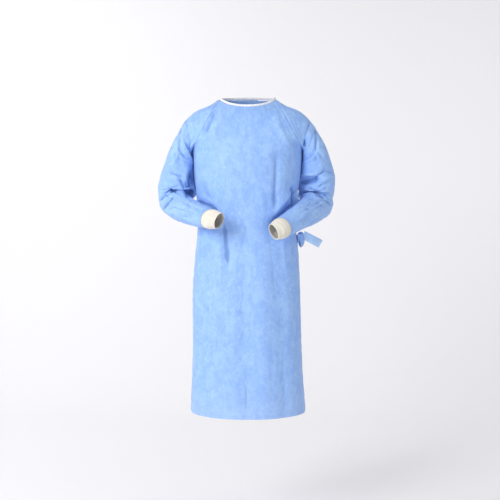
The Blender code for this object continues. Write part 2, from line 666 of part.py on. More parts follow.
def loop_grid():
    """The bow's loop: a teardrop that hangs from the knot, its opening turned to the front.

    The teardrop's half-width is sin(turn) times sin(turn / 2) to a power, down its length.
    """
    turn = np.linspace(0.14, 2 * math.pi - 0.14, LOOP_CELLS + 1)
    down = LOOP_LENGTH * (1 - np.cos(turn)) / 2
    side = LOOP_WIDTH / 2 * np.sin(turn) * np.sin(turn / 2) ** 0.8
    x = side * math.cos(LOOP_LEAN) + down * math.sin(LOOP_LEAN)
    z = -down * math.cos(LOOP_LEAN) + side * math.sin(LOOP_LEAN)
    line = np.array(LOOP_TOP) + np.stack([x, 0.10 * down, z], axis=-1)
    ways = np.tile([0.50, 0.86, 0.10], (len(line), 1))
    return ribbon(line, ways, BELT_WIDTH * 0.8)


def tab_grid():
    """The neck tab: sewn to the outer lap below the binding, it crosses the lap's edge and
    comes down on to the inner panel, where it is pressed shut."""
    rows = upper_rows(UPPER_BACK, TAB_TOP + np.linspace(0, TAB_SIZE[1] / RAGLAN_RUN, 3))
    edge = float(lap_edge()[0])
    half = rows["left_x"][0]
    across = np.array(TAB_ACROSS) * TAB_SIZE[0] / half
    surface, outward = back_surface(rows, edge + 0.02 + across)
    drop = np.clip((across - 0.02 * TAB_SIZE[0] / half) / (0.14 * TAB_SIZE[0] / half), 0, 1)
    level = 0.0010 + TAB_WALL - LAP_DROP * drop**2 * (3 - 2 * drop)
    return surface + outward * level[None, :, None]


def knot(material, collection):
    """The knot: a firm rounded bundle of cloth, flattened against the side."""
    bpy.ops.mesh.primitive_uv_sphere_add(segments=12, ring_count=8, radius=1.0)
    bundle = bpy.context.object
    bundle.name = "belt_knot"
    bundle.data.name = "belt_knot"
    points = np.array([v.co for v in bundle.data.vertices])
    pinch = 1 - 0.16 * np.cos(2 * np.arctan2(points[:, 2], points[:, 1]))
    points = points * np.array(KNOT_SIZE) / 2 * pinch[:, None] + np.array(KNOT_CENTRE)
    bundle.data.vertices.foreach_set("co", points.ravel())
    bundle.data.materials.append(material)
    bundle.data.shade_smooth()
    for owner in list(bundle.users_collection):
        owner.objects.unlink(bundle)
    collection.objects.link(bundle)


def clear_scene():
    """Removes whatever the scene holds."""
    for old in list(bpy.data.objects):
        bpy.data.objects.remove(old)


def main():
    """Builds every piece of the gown."""
    clear_scene()
    gown = bpy.data.collections.new("surgical_gown")
    bpy.context.scene.collection.children.link(gown)
    materials = {name: new_material(name) for name in COLOURS}
    blue = materials["gown_cloth"]

    front = drawn_in(front_grid(), top=True, first=True, last=True)
    cloth("front_panel", front, blue, gown, CLOTH_WALL)
    for side, name in ((RIGHT, "back_panel_right"), (LEFT, "back_panel_left")):
        back = drawn_in(back_grid(side), top=True, first=True)
        cloth(name, back, blue, gown, CLOTH_WALL)
    for side, word in ((RIGHT, "right"), (LEFT, "left")):
        sleeve = drawn_in(sleeve_grid(side), top=True)
        cloth(f"sleeve_{word}", sleeve, blue, gown, CLOTH_WALL, round_it=True,
              outside=tube_facing(sleeve))
        cuff = cuff_grid(side)
        cloth(f"cuff_{word}", cuff, materials["cream_knit"], gown, KNIT_WALL, round_it=True,
              outside=tube_facing(cuff))
    cloth("neck_binding", binding_grid(), materials["white_binding"], gown, BINDING_WALL)
    cloth("neck_tab", tab_grid(), materials["hook_and_loop"], gown, TAB_WALL)
    cloth("belt_band", belt_band_grid(), blue, gown, BELT_WALL)
    cloth("belt_tail_front", tail_front_grid(), blue, gown, BELT_WALL)
    cloth("belt_tail_back", tail_back_grid(), blue, gown, BELT_WALL)
    cloth("belt_loop", loop_grid(), blue, gown, BELT_WALL)
    knot(blue, gown)


main()
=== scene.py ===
"""Surgical gown: the finished cloth, knit, binding and belt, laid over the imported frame.

Metres, +Z up, the front faces -Y and the gown's own left is +X, as in the part's source.
"""
import math

import bpy
import numpy as np
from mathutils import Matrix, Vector


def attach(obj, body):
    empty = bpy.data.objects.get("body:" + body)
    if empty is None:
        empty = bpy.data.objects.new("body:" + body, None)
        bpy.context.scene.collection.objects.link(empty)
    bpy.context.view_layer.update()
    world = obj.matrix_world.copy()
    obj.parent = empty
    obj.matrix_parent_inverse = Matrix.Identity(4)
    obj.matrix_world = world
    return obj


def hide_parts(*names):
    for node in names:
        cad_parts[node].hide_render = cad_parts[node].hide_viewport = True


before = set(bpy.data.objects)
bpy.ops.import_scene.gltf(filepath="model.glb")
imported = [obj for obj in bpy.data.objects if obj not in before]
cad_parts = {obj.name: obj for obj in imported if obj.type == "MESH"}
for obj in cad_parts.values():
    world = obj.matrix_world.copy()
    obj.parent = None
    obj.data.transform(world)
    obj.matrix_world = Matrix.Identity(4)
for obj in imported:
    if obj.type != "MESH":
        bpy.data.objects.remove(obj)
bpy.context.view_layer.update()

# Sizes that the frame has too
BINDING_HEIGHT, BINDING_WALL = 0.0095, 0.0022
BELT_WIDTH = 0.032
BELT_Z = -0.520
BELT_CLEAR = 0.0034
BELT_STACK = 0.0028
LAP_DROP = 0.0034
CUFF_LENGTH = 0.066
CUFF_TURN = math.radians(24)
CUFF_END_RADIUS = 0.0305
KNOT_SIZE = (0.024, 0.026, 0.030)
KNOT_CENTRE = (0.20125, 0.012, -0.513)
LOOP_LENGTH, LOOP_SPREAD, LOOP_LEAN = 0.046, 0.012, math.radians(3)
LOOP_TOP = (0.2005, -0.0108, -0.5080)
TAIL_BACK_LENGTH, TAIL_BACK_START, TAIL_BACK_DRIFT = 0.170, 0.029, 0.030
NECK_HALF_WIDTH, NECK_RISE, NECK_ANGLE = 0.1085, 0.0010, 24
BINDING_LEAN = 0.30
SHOULDER_SLOPE = math.radians(25)
UNDERARM_WAY = (0.62, 0.0, -0.78)
SLEEVE_PULL = 1.22
FLATNESS = 1.05
LAP_TOP, LAP_GAIN, LAP_CURVE = 0.30, 0.16, 0.8
BAND_START, BAND_END = 0.30, 0.955
TAB_SIZE, TAB_TOP, RAGLAN_RUN = (0.046, 0.025), 0.045, 0.235
HEM_EASE = 0.045
HEM_RISE, HEM_RISE_TOP = 0.009, -0.95
LEFT, RIGHT = 1, -1

# Cells of the fine grids
FRONT_CELLS = 132
BACK_SIDE_CELLS = 46
LAP_CELLS = 46
SEAM_CELLS = 64
NECK_CELLS = 6
BODY_CELLS = 236
SLEEVE_STEPS = 230

# A sleeve's cloth: metres round it for each degree, and metres along it
SLEEVE_DEGREE = 0.00100
SLEEVE_RUN = 0.62

# How much nearer the body a sleeve's inner side hangs than in the frame
INNER_SIDE = {LEFT: 0.0030, RIGHT: 0.0030}
BESIDE_BODY = {LEFT: 0.0060, RIGHT: 0.0100}

# How much further out than in the frame a sleeve's outer side hangs, at places along it
OUTER_COLUMNS = ("at", "push")
OUTER_SIDE = {
    LEFT: ((0.00, 0.0), (0.05, -0.0035), (0.12, -0.0015), (0.28, 0.0), (0.42, 0.0060),
           (0.54, 0.0085), (0.66, 0.0075), (0.76, 0.0045), (0.90, 0.0), (1.00, 0.0)),
    RIGHT: ((0.00, 0.0), (0.05, -0.0045), (0.12, -0.0050), (0.28, -0.0050), (0.42, 0.0010),
            (0.54, 0.0070), (0.66, 0.0080), (0.76, 0.0045), (0.90, 0.0), (1.00, 0.0)),
}

# The share of a sleeve's soft folds that gives way on its front to the creases drawn there
SOFT_AHEAD = {LEFT: 0.45, RIGHT: 0.80}

# Finish colours
CLOTH_LIGHT = (0.340, 0.540, 0.910, 1.0)
CLOTH_DEEP = (0.255, 0.440, 0.850, 1.0)
CLOTH_PALE = (0.430, 0.620, 0.930, 1.0)
# The colour of painted shade in the cloth's hollows and beside its seams
CLOTH_CREASE_SHADE = (0.130, 0.250, 0.560, 1.0)
# Painted light: paler blues for the belt's free end at the front, the same cloth as the rest of the
# belt painted as if it caught more light
BELT_PAINTED_LIT, BELT_PAINTED_LIT_DEEP = (0.560, 0.760, 1.000, 1.0), (0.470, 0.680, 0.980, 1.0)
HEM_TINT = (0.405, 0.550, 0.870, 1.0)
BINDING_WHITE, BINDING_SHADE = (0.88, 0.89, 0.93, 1.0), (0.70, 0.73, 0.82, 1.0)
KNIT_CREAM, KNIT_SHADE = (0.93, 0.90, 0.83, 1.0), (0.80, 0.75, 0.63, 1.0)

BACKDROP_COLOUR = (0.930, 0.918, 0.932, 1.0)

# Studio
FLOOR_Z = -1.60
KEY_POWER, SIDE_POWER, FILL_POWER, ROOM_LIGHT = 64, 8, 17, 0.59
WALL_POWER, FAR_WALL_POWER = 31, 9

# The knit cuffs
CUFF_RIBS, CUFF_RIB_CELLS, CUFF_STEPS = 62, 6, 44
CUFF_RIB_DEPTH = 0.0014
CUFF_RADIUS = 0.036
CUFF_START_RADIUS = {LEFT: 0.0378, RIGHT: 0.0358}
CUFF_LEVEL = {LEFT: 0.000, RIGHT: 0.006}
SLEEVE_REACH = {LEFT: (-0.0150, -0.0120, -0.0060), RIGHT: (-0.0110, -0.0100, 0.0065)}
CUFF_ROUND = 2 * math.pi * CUFF_RADIUS
KNOT_ROUND = 0.075

# Painted shade beside a seam, taken as a furrow that isn't in the cloth's shape: how deep, and how far
# from the seam line
SEAM_SHADE_DEPTH, SEAM_REACH = 0.0028, 0.0034

# Walls of the finished cloth
CLOTH_WALL = 0.0008
KNIT_WALL = 0.0015
TAPE_WALL = 0.0009

# Sections above the underarm, at shares of the way down the raglan seam
UPPER_COLUMNS = ("share", "mid_y", "mid_z", "seam_x", "seam_y", "seam_z", "sweep")
UPPER_FRONT = (
    (0.00, -0.0850, -0.0380, 0.1045, -0.0300, -0.0040, 68),
    (0.15, -0.0985, -0.0600, 0.1190, -0.0600, -0.0310, 66),
    (0.35, -0.1125, -0.0870, 0.1380, -0.0860, -0.0670, 66),
    (0.60, -0.1240, -0.1230, 0.1610, -0.0985, -0.1130, 68),
    (0.80, -0.1300, -0.1540, 0.1820, -0.0880, -0.1500, 74),
    (0.92, -0.1325, -0.1740, 0.1985, -0.0580, -0.1760, 82),
    (1.00, -0.1340, -0.1900, 0.2065, 0.0050, -0.1920, 90),
)
UPPER_BACK = (
    (0.00, 0.0700, 0.0100, 0.1045, 0.0280, 0.0010, 68),
    (0.15, 0.0840, -0.0160, 0.1200, 0.0540, -0.0240, 66),
    (0.35, 0.0990, -0.0520, 0.1400, 0.0800, -0.0610, 66),
    (0.60, 0.1120, -0.1010, 0.1630, 0.0940, -0.1090, 68),
    (0.80, 0.1190, -0.1430, 0.1840, 0.0850, -0.1480, 74),
    (0.92, 0.1225, -0.1690, 0.1990, 0.0580, -0.1750, 82),
    (1.00, 0.1240, -0.1900, 0.2065, 0.0050, -0.1920, 90),
)
# Sections from the underarm to the hem: the side lines and the front and back depths
LOWER_COLUMNS = ("z", "left_x", "right_x", "side_y", "front_y", "back_y")
LOWER_BODY = (
    (-0.192, 0.2065, 0.2065, 0.005, -0.134, 0.124),
    (-0.235, 0.2040, 0.2040, 0.005, -0.138, 0.127),
    (-0.285, 0.1990, 0.1995, 0.004, -0.139, 0.127),
    (-0.340, 0.1900, 0.1940, 0.003, -0.137, 0.122),
    (-0.390, 0.1810, 0.1890, 0.002, -0.130, 0.115),
    (-0.440, 0.1790, 0.1865, 0.001, -0.125, 0.109),
    (-0.490, 0.1825, 0.1875, 0.000, -0.124, 0.105),
    (-0.525, 0.1865, 0.1900, 0.000, -0.126, 0.104),
    (-0.570, 0.1910, 0.1950, 0.001, -0.131, 0.112),
    (-0.640, 0.1950, 0.2010, 0.002, -0.137, 0.126),
    (-0.720, 0.1985, 0.2060, 0.003, -0.142, 0.139),
    (-0.810, 0.2005, 0.2065, 0.004, -0.145, 0.147),
    (-0.900, 0.2025, 0.2055, 0.004, -0.147, 0.152),
    (-1.060, 0.2100, 0.2090, 0.004, -0.152, 0.157),
    (-1.135, 0.2155, 0.2120, 0.004, -0.155, 0.160),
    (-1.178, 0.2185, 0.2130, 0.004, -0.157, 0.162),
)
# Rings of the sleeves from below the armhole to the wrist
RING_COLUMNS = ("at", "x", "y", "z", "out", "across")
SLEEVE_RINGS = {
    LEFT: (
        (0.40, 0.2575, 0.020, -0.228, 0.0515, 0.0660),
        (0.50, 0.2615, 0.038, -0.290, 0.0645, 0.0640),
        (0.58, 0.2570, 0.046, -0.345, 0.0655, 0.0610),
        (0.66, 0.2570, 0.036, -0.392, 0.0600, 0.0560),
        (0.75, 0.2335, -0.034, -0.4165, 0.0515, 0.0530),
        (0.87, 0.1915, -0.110, -0.4445, 0.0450, 0.0460),
        (1.00, 0.1420, -0.170, -0.478, 0.0385, 0.0385),
    ),
    RIGHT: (
        (0.40, 0.2575, 0.020, -0.228, 0.0515, 0.0660),
        (0.50, 0.2625, 0.038, -0.288, 0.0645, 0.0640),
        (0.58, 0.2640, 0.046, -0.338, 0.0710, 0.0620),
        (0.66, 0.2670, 0.036, -0.380, 0.0610, 0.0560),
        (0.75, 0.2435, -0.034, -0.4055, 0.0515, 0.0520),
        (0.87, 0.1955, -0.110, -0.4320, 0.0435, 0.0460),
        (1.00, 0.1490, -0.170, -0.460, 0.0385, 0.0385),
    ),
}

# Soft folds that the frame has too, seen square on: from one point to the other in x and z
FRONT_FOLDS = (
    (-0.118, -0.040, -0.163, -0.150, 0.015, -0.0085),
    (-0.095, -0.050, -0.130, -0.170, 0.018, 0.0045),
    (0.122, -0.045, 0.178, -0.165, 0.014, -0.0015),
    (0.100, -0.060, 0.150, -0.190, 0.018, 0.0040),
    (0.112, -0.190, 0.098, -0.450, 0.018, -0.0030),
    (0.140, -0.230, 0.125, -0.400, 0.018, 0.0030),
    (0.168, -0.395, 0.080, -0.480, 0.014, -0.0090),
    (0.160, -0.345, 0.095, -0.440, 0.014, 0.0055),
    (-0.160, -0.330, -0.120, -0.470, 0.016, -0.0060),
    (-0.060, -0.250, -0.070, -0.420, 0.030, 0.0050),
    (-0.090, -0.470, -0.073, -0.610, 0.019, -0.0080),
    (-0.110, -0.500, -0.112, -0.900, 0.024, 0.0050),
    (-0.020, -0.560, -0.010, -1.170, 0.028, -0.0040),
    (0.045, -0.540, 0.070, -1.180, 0.028, 0.0042),
    (0.110, -0.560, 0.140, -1.180, 0.024, -0.0045),
    (-0.150, -0.620, -0.165, -1.180, 0.022, -0.0045),
)
BACK_FOLDS = (
    (-0.080, -0.080, -0.135, -0.170, 0.020, -0.0045),
    (0.080, -0.080, 0.135, -0.170, 0.020, -0.0045),
    (-0.045, -0.120, -0.060, -0.480, 0.024, 0.0055),
    (0.060, -0.150, 0.050, -0.470, 0.024, -0.0045),
    (-0.120, -0.330, -0.095, -0.700, 0.022, -0.0050),
    (0.135, -0.380, 0.125, -0.660, 0.022, -0.0045),
    (-0.070, -0.540, -0.085, -1.170, 0.028, 0.0060),
    (-0.020, -0.560, -0.015, -1.180, 0.028, -0.0045),
    (-0.150, -0.580, -0.165, -1.180, 0.026, -0.0045),
    (0.140, -0.600, 0.160, -1.180, 0.024, 0.0050),
)
# Soft folds of a sleeve: place along, angle round, half-lengths along and round, lean, depth
SLEEVE_CREASES = (
    (0.30, 95, 0.020, 42, 0.0012, -0.0085),
    (0.36, 130, 0.018, 30, 0.0010, 0.0060),
    (0.24, 60, 0.020, 30, -0.0010, -0.0045),
    (0.475, 100, 0.014, 50, 0.0006, -0.0050),
    (0.555, 130, 0.013, 62, 0.0004, -0.0080),
    (0.595, 140, 0.012, 70, 0.0002, 0.0060),
    (0.635, 150, 0.013, 66, -0.0002, -0.0090),
    (0.680, 145, 0.012, 60, -0.0004, 0.0050),
    (0.725, 130, 0.013, 50, -0.0006, -0.0050),
    (0.620, 20, 0.016, 34, 0.0008, -0.0045),
    (0.700, -40, 0.016, 34, 0.0006, -0.0040),
    (0.860, 60, 0.014, 44, 0.0010, -0.0030),
)
PATH_COLUMNS = ("at", "x", "y", "z")
TAIL_FRONT = (
    (0.00, 0.2095, 0.006, -0.5075),
    (0.35, 0.2350, 0.009, -0.5210),
    (0.70, 0.2565, 0.006, -0.5320),
    (1.00, 0.2760, 0.004, -0.5430),
)

# Finer creases, in metres on the cloth: from (u0, v0) to (u1, v1), half-width, depth, and how
# crisp the crease is, from 0 for a soft bell to 1 for a sharp ridge
# The columns of a table of creases: u0, v0, u1, v1, width, depth, crisp
FRONT_CREASES = (
    # storage creases
    (-0.190, -0.800, -0.040, -0.796, 0.0045, 0.0011, 0.9),
    (-0.060, -0.780, 0.030, -0.806, 0.0040, -0.0009, 0.8),
    (-0.0595, -0.810, -0.0600, -1.120, 0.0030, -0.0010, 1.0),
    (0.004, -0.070, 0.000, -0.300, 0.0035, -0.0009, 1.0),
    # down from the shoulders
    (-0.122, -0.060, -0.150, -0.128, 0.0060, -0.0030, 0.4),
    (-0.112, -0.070, -0.150, -0.155, 0.0050, 0.0016, 0.6),
    (0.118, -0.080, 0.152, -0.160, 0.0060, -0.0012, 0.4),
    (0.110, -0.110, 0.150, -0.175, 0.0050, 0.0014, 0.6),
    # front of the right chest and down to the waist
    (0.103, -0.230, 0.096, -0.400, 0.0060, -0.0018, 0.5),
    (0.120, -0.240, 0.112, -0.420, 0.0070, 0.0026, 0.5),
    (0.085, -0.300, 0.088, -0.440, 0.0060, 0.0014, 0.5),
    (0.065, -0.330, 0.072, -0.440, 0.0060, -0.0013, 0.5),
    # waist gathers running down towards the middle
    (0.172, -0.370, 0.100, -0.450, 0.0055, -0.0034, 0.6),
    (0.165, -0.350, 0.110, -0.425, 0.0050, 0.0022, 0.6),
    (0.176, -0.400, 0.120, -0.455, 0.0050, -0.0022, 0.6),
    (0.170, -0.330, 0.130, -0.380, 0.0050, -0.0016, 0.6),
    (-0.165, -0.370, -0.095, -0.440, 0.0055, -0.0018, 0.6),
    (-0.150, -0.350, -0.080, -0.430, 0.0050, 0.0012, 0.6),
    (-0.170, -0.320, -0.120, -0.400, 0.0060, -0.0012, 0.6),
    (0.1690, -0.335, 0.1800, -0.392, 0.0110, -0.0150, 0.3),
    (-0.1890, -0.3830, -0.1160, -0.4175, 0.0048, -0.0170, 0.8),
    (-0.1750, -0.3650, -0.1150, -0.4000, 0.0060, 0.0040, 0.5),
    (0.1740, -0.3930, 0.1080, -0.4620, 0.0050, -0.0090, 0.6),
    (0.1500, -0.4200, 0.0950, -0.4500, 0.0045, -0.0050, 0.6),
    # falling from the waist
    (-0.083, -0.490, -0.079, -0.560, 0.0070, -0.0024, 0.4),
    (-0.072, -0.560, -0.068, -0.640, 0.0080, -0.0014, 0.4),
    (-0.095, -0.520, -0.098, -0.700, 0.0060, 0.0020, 0.5),
    (-0.066, -0.560, -0.058, -0.680, 0.0050, 0.0014, 0.5),
    (-0.120, -0.500, -0.130, -0.640, 0.0060, -0.0014, 0.5),
    (0.085, -0.540, 0.100, -0.720, 0.0060, -0.0016, 0.5),
    (0.130, -0.520, 0.146, -0.660, 0.0060, 0.0014, 0.5),
    (0.165, -0.500, 0.172, -0.620, 0.0050, -0.0016, 0.5),
    (0.020, -0.540, 0.030, -0.680, 0.0060, 0.0010, 0.5),
)
# Creases on the front of the right and the left sleeve
SLEEVE_FRONT_CREASES = {
    RIGHT: (
        # armpit
        (-0.2280, -0.168, -0.1970, -0.244, 0.0070, -0.0120, 0.5),
        (-0.2370, -0.165, -0.2130, -0.235, 0.0070, 0.0060, 0.5),
        (-0.2330, -0.085, -0.2120, -0.160, 0.0080, -0.0051, 0.4),
        (-0.2430, -0.110, -0.2330, -0.190, 0.0090, 0.0030, 0.4),
        # inner elbow
        (-0.2060, -0.268, -0.2130, -0.364, 0.0150, -0.0170, 0.2),
        (-0.2285, -0.2755, -0.1988, -0.3424, 0.0040, -0.0042, 0.7),
        (-0.2360, -0.3053, -0.2025, -0.3648, 0.0040, -0.0046, 0.7),
        (-0.2211, -0.2495, -0.1951, -0.3053, 0.0040, -0.0036, 0.7),
        (-0.2400, -0.2850, -0.2120, -0.3400, 0.0050, 0.0036, 0.6),
        (-0.2300, -0.260, -0.2360, -0.320, 0.0100, 0.0067, 0.3),
        (-0.2530, -0.300, -0.2180, -0.365, 0.0060, -0.0097, 0.5),
        (-0.3000, -0.333, -0.2020, -0.379, 0.0055, -0.0170, 0.6),
        (-0.2850, -0.345, -0.2100, -0.386, 0.0070, 0.0072, 0.5),
        # tip of the elbow
        (-0.3310, -0.378, -0.2700, -0.334, 0.0075, -0.0135, 0.5),
        (-0.3140, -0.412, -0.2780, -0.366, 0.0065, -0.0125, 0.5),
        (-0.3250, -0.396, -0.2760, -0.350, 0.0070, 0.0060, 0.5),
        (-0.3050, -0.430, -0.2600, -0.380, 0.0070, 0.0030, 0.5),
        # forearm
        (-0.2500, -0.392, -0.1700, -0.440, 0.0070, 0.0028, 0.4),
        (-0.2600, -0.420, -0.1900, -0.462, 0.0065, -0.0028, 0.5),
        (-0.2250, -0.400, -0.1500, -0.425, 0.0060, -0.0025, 0.5),
    ),
    LEFT: (
        # armpit and shoulder
        (0.2155, -0.156, 0.2100, -0.192, 0.0042, -0.0128, 0.5),
        (0.2360, -0.086, 0.2130, -0.150, 0.0070, -0.0054, 0.5),
        (0.2620, -0.090, 0.2330, -0.150, 0.0080, 0.0035, 0.5),
        (0.2480, -0.120, 0.2270, -0.200, 0.0060, -0.0028, 0.5),
        # folds above the elbow
        (0.2000, -0.282, 0.2680, -0.288, 0.0050, 0.0067, 0.8),
        (0.1960, -0.310, 0.2700, -0.306, 0.0130, -0.0250, 0.3),
        (0.2530, -0.296, 0.2900, -0.270, 0.0055, -0.0048, 0.6),
        (0.2640, -0.318, 0.3200, -0.284, 0.0070, 0.0060, 0.5),
        (0.2770, -0.262, 0.3280, -0.280, 0.0070, -0.0030, 0.4),
        # inner elbow
        (0.1920, -0.350, 0.2460, -0.342, 0.0050, -0.0135, 0.6),
        (0.2000, -0.362, 0.2560, -0.360, 0.0070, 0.0075, 0.5),
        (0.2360, -0.338, 0.2900, -0.372, 0.0055, -0.0120, 0.6),
        (0.2780, -0.360, 0.3140, -0.402, 0.0055, -0.0090, 0.6),
        (0.2500, -0.330, 0.3040, -0.350, 0.0070, 0.0060, 0.5),
        (0.2400, -0.366, 0.2900, -0.396, 0.0080, 0.0067, 0.4),
        (0.3000, -0.350, 0.3260, -0.376, 0.0065, -0.0037, 0.5),
        # forearm
        (0.3080, -0.409, 0.2150, -0.480, 0.0030, -0.0034, 1.0),
        (0.2600, -0.390, 0.1850, -0.440, 0.0065, -0.0030, 0.5),
        (0.2250, -0.378, 0.1750, -0.420, 0.0060, 0.0030, 0.5),
        (0.2350, -0.420, 0.1800, -0.462, 0.0065, 0.0022, 0.5),
    ),
}
BACK_CREASES = (
    (0.000, -0.030, -0.004, -0.500, 0.0040, 0.0009, 0.9),
    (-0.170, -0.800, 0.170, -0.796, 0.0045, 0.0010, 0.9),
    (-0.150, -0.300, -0.090, -0.470, 0.0080, -0.0016, 0.4),
    (-0.120, -0.240, -0.080, -0.460, 0.0060, 0.0018, 0.5),
    (0.150, -0.320, 0.110, -0.500, 0.0070, -0.0016, 0.4),
    (0.120, -0.360, 0.085, -0.500, 0.0060, 0.0018, 0.5),
    (0.090, -0.540, 0.105, -0.760, 0.0060, -0.0024, 0.5),
    (0.060, -0.545, 0.065, -0.720, 0.0060, 0.0016, 0.5),
    (-0.040, -0.600, -0.045, -0.900, 0.0070, -0.0018, 0.5),
    (-0.100, -0.620, -0.112, -0.940, 0.0070, 0.0018, 0.5),
)


def column(table, columns, name):
    """One named column of a table, as an array."""
    return np.array([row[columns.index(name)] for row in table], float)


def smooth(keys, values, at):
    """A smooth curve through the values at the keys, read at the places asked for.

    Each stretch is a cubic whose end slopes are those of the line through the two
    neighbouring keys.
    """
    keys, values, at = np.asarray(keys, float), np.asarray(values, float), np.asarray(at, float)
    slopes = np.gradient(values, keys, axis=0)
    cell = np.clip(np.searchsorted(keys, at, side="right") - 1, 0, len(keys) - 2)
    step = keys[cell + 1] - keys[cell]
    t = (at - keys[cell]) / step
    if values.ndim > 1:
        t, step = t[:, None], step[:, None]
    rise = values[cell + 1] - values[cell]
    start, end = slopes[cell] * step, slopes[cell + 1] * step
    low = values[cell] + t * start
    return low + t**2 * (3 * rise - 2 * start - end) + t**3 * (start + end - 2 * rise)


def unit(vectors):
    """The vectors at length one."""
    length = np.linalg.norm(vectors, axis=-1, keepdims=True)
    return vectors / np.maximum(length, 1e-9)


def eased(share):
    """0 below 0, 1 above 1, and 3 t^2 - 2 t^3 between."""
    t = np.clip(share, 0, 1)
    return t * t * (3 - 2 * t)


def grid_normals(grid, round_it=False):
    """The normal at each point of a grid, from the differences along its rows and columns."""
    if round_it:
        across = np.roll(grid, -1, axis=1) - np.roll(grid, 1, axis=1)
    else:
        across = np.gradient(grid, axis=1)
    return unit(np.cross(across, np.gradient(grid, axis=0)))


def hollows(grid, outward, closed, passes=12):
    """How far each point lies below the cloth around it, in metres: the mean of its neighbours,
    taken again and again over the passes, less the point itself, along the outward normal."""
    mean = grid
    for _ in range(passes):
        if closed:
            wide = np.concatenate([mean[:, -1:], mean, mean[:, :1]], axis=1)
        else:
            wide = np.pad(mean, ((0, 0), (1, 1), (0, 0)), mode="edge")
        tall = np.pad(mean, ((1, 1), (0, 0), (0, 0)), mode="edge")
        beside = wide[:, :-2] + wide[:, 2:]
        mean = (2 * mean + beside + tall[:-2] + tall[2:]) / 6
    return np.sum((mean - grid) * outward, axis=-1)


def lengths_along(grid, axis):
    """The length run from the first row or column to each point, in metres."""
    steps = np.linalg.norm(np.diff(grid, axis=axis), axis=2)
    first = np.zeros((1, grid.shape[1]) if axis == 0 else (grid.shape[0], 1))
    return np.concatenate([first, np.cumsum(steps, axis=axis)], axis=axis)


def soft_noise(u, v, cell, seed):
    """Noise from -1 to 1: random values on a square lattice, blended by 3 t^2 - 2 t^3."""
    values = np.random.default_rng(seed).uniform(-1, 1, (64, 64))
    x, y = u / cell, v / cell
    i, j = np.floor(x).astype(int), np.floor(y).astype(int)
    s, t = eased(x - i), eased(y - j)
    corner = [[values[(i + a) % 64, (j + b) % 64] for b in (0, 1)] for a in (0, 1)]
    low = corner[0][0] * (1 - s) + corner[1][0] * s
    high = corner[0][1] * (1 - s) + corner[1][1] * s
    return low * (1 - t) + high * t


def crumple(u, v, cell, seed):
    """Facets of crushed cloth: the distance to the nearest of one random point per lattice
    cell, less its mean, so that flat cones meet in crisp ridges."""
    places = np.random.default_rng(seed).uniform(0, 1, (64, 64, 2))
    x, y = u / cell, v / cell
    i, j = np.floor(x).astype(int), np.floor(y).astype(int)
    nearest = np.full(x.shape, 9.0)
    for a in (-1, 0, 1):
        for b in (-1, 0, 1):
            point = places[(i + a) % 64, (j + b) % 64]
            gap = np.hypot(x - i - a - point[..., 0], y - j - b - point[..., 1])
            nearest = np.minimum(nearest, gap)
    return nearest - 0.42


def bell(u, v, u0, v0, u1, v1, width, crisp=0.0):
    """How strongly a fold from (u0, v0) to (u1, v1) acts: exp(-(off / width)^p) across its
    line, with p from 2 for a soft fold to 1 for a crisp one, fading towards both ends."""
    run = math.hypot(u1 - u0, v1 - v0)
    du, dv = (u1 - u0) / run, (v1 - v0) / run
    along = ((u - u0) * du + (v - v0) * dv) / run
    off = np.abs((u - u0) * dv - (v - v0) * du)
    past = np.maximum(np.abs(along - 0.5) - 0.28, 0) / 0.26
    return np.exp(-((off / width) ** (2 - crisp)) - past**2)


def soft_folds(u, v, folds):
    """The sum of the soft folds of a table at each point."""
    return sum(depth * bell(u, v, *ends, width) for *ends, width, depth in folds)


def fine_creases(u, v, creases):
    """The sum of the finer creases of a table at each point."""
    return sum(depth * bell(u, v, *ends, width, crisp) for *ends, width, depth, crisp in creases)


def scattered(u, v, count, seed, low, high, lean, long, width, depth):
    """Small random creases over a stretch of cloth: count of them, their middles between low
    and high, turned about lean radians from the v direction, in and out by turns."""
    rng = np.random.default_rng(seed)
    total = np.zeros(u.shape)
    for index in range(count):
        middle = rng.uniform(low, high)
        turn = lean + rng.normal(0, 0.28)
        half = long * rng.uniform(0.5, 1.0) / 2
        step = np.array([math.sin(turn), math.cos(turn)]) * half
        wide = width * rng.uniform(0.6, 1.3)
        size = depth * rng.uniform(0.4, 1.0) * (1 if index % 2 else -1)
        near = np.hypot(u - middle[0], v - middle[1]) < half + 4 * wide
        ends = (*(middle - step), *(middle + step))
        total[near] += size * bell(u[near], v[near], *ends, wide, 0.5)
    return total


def upper_rows(upper, share):
    """Sections of the front or back above the underarm, at shares of the way down the seam."""
    keys = column(upper, UPPER_COLUMNS, "share")
    rows = {n: smooth(keys, column(upper, UPPER_COLUMNS, n), share) for n in UPPER_COLUMNS}
    return {
        "mid_y": rows["mid_y"], "mid_z": rows["mid_z"],
        "left_x": rows["seam_x"], "right_x": rows["seam_x"],
        "end_y": rows["seam_y"], "end_z": rows["seam_z"],
        "sweep": np.radians(rows["sweep"]),
    }


def lower_steps():
    """Steps from the underarm to the hem, with close rows where the hem is turned up."""
    plain = np.linspace(0, 1, BODY_CELLS + 1)[1:]
    hem = 1 - np.array([0.0142, 0.0126, 0.0118, 0.0110, 0.0102, 0.0094, 0.0015, 0.0004]) / 0.74
    return np.unique(np.concatenate([plain[plain < hem[0] - 0.002], hem, plain[-4:]]))


def lower_heights():
    """The heights of those steps, spaced as the frame's rows are."""
    steps, top, hem = lower_steps(), LOWER_BODY[0][0], LOWER_BODY[-1][0]
    return top + (hem - top) * (steps - HEM_EASE * np.sin(2 * math.pi * steps))


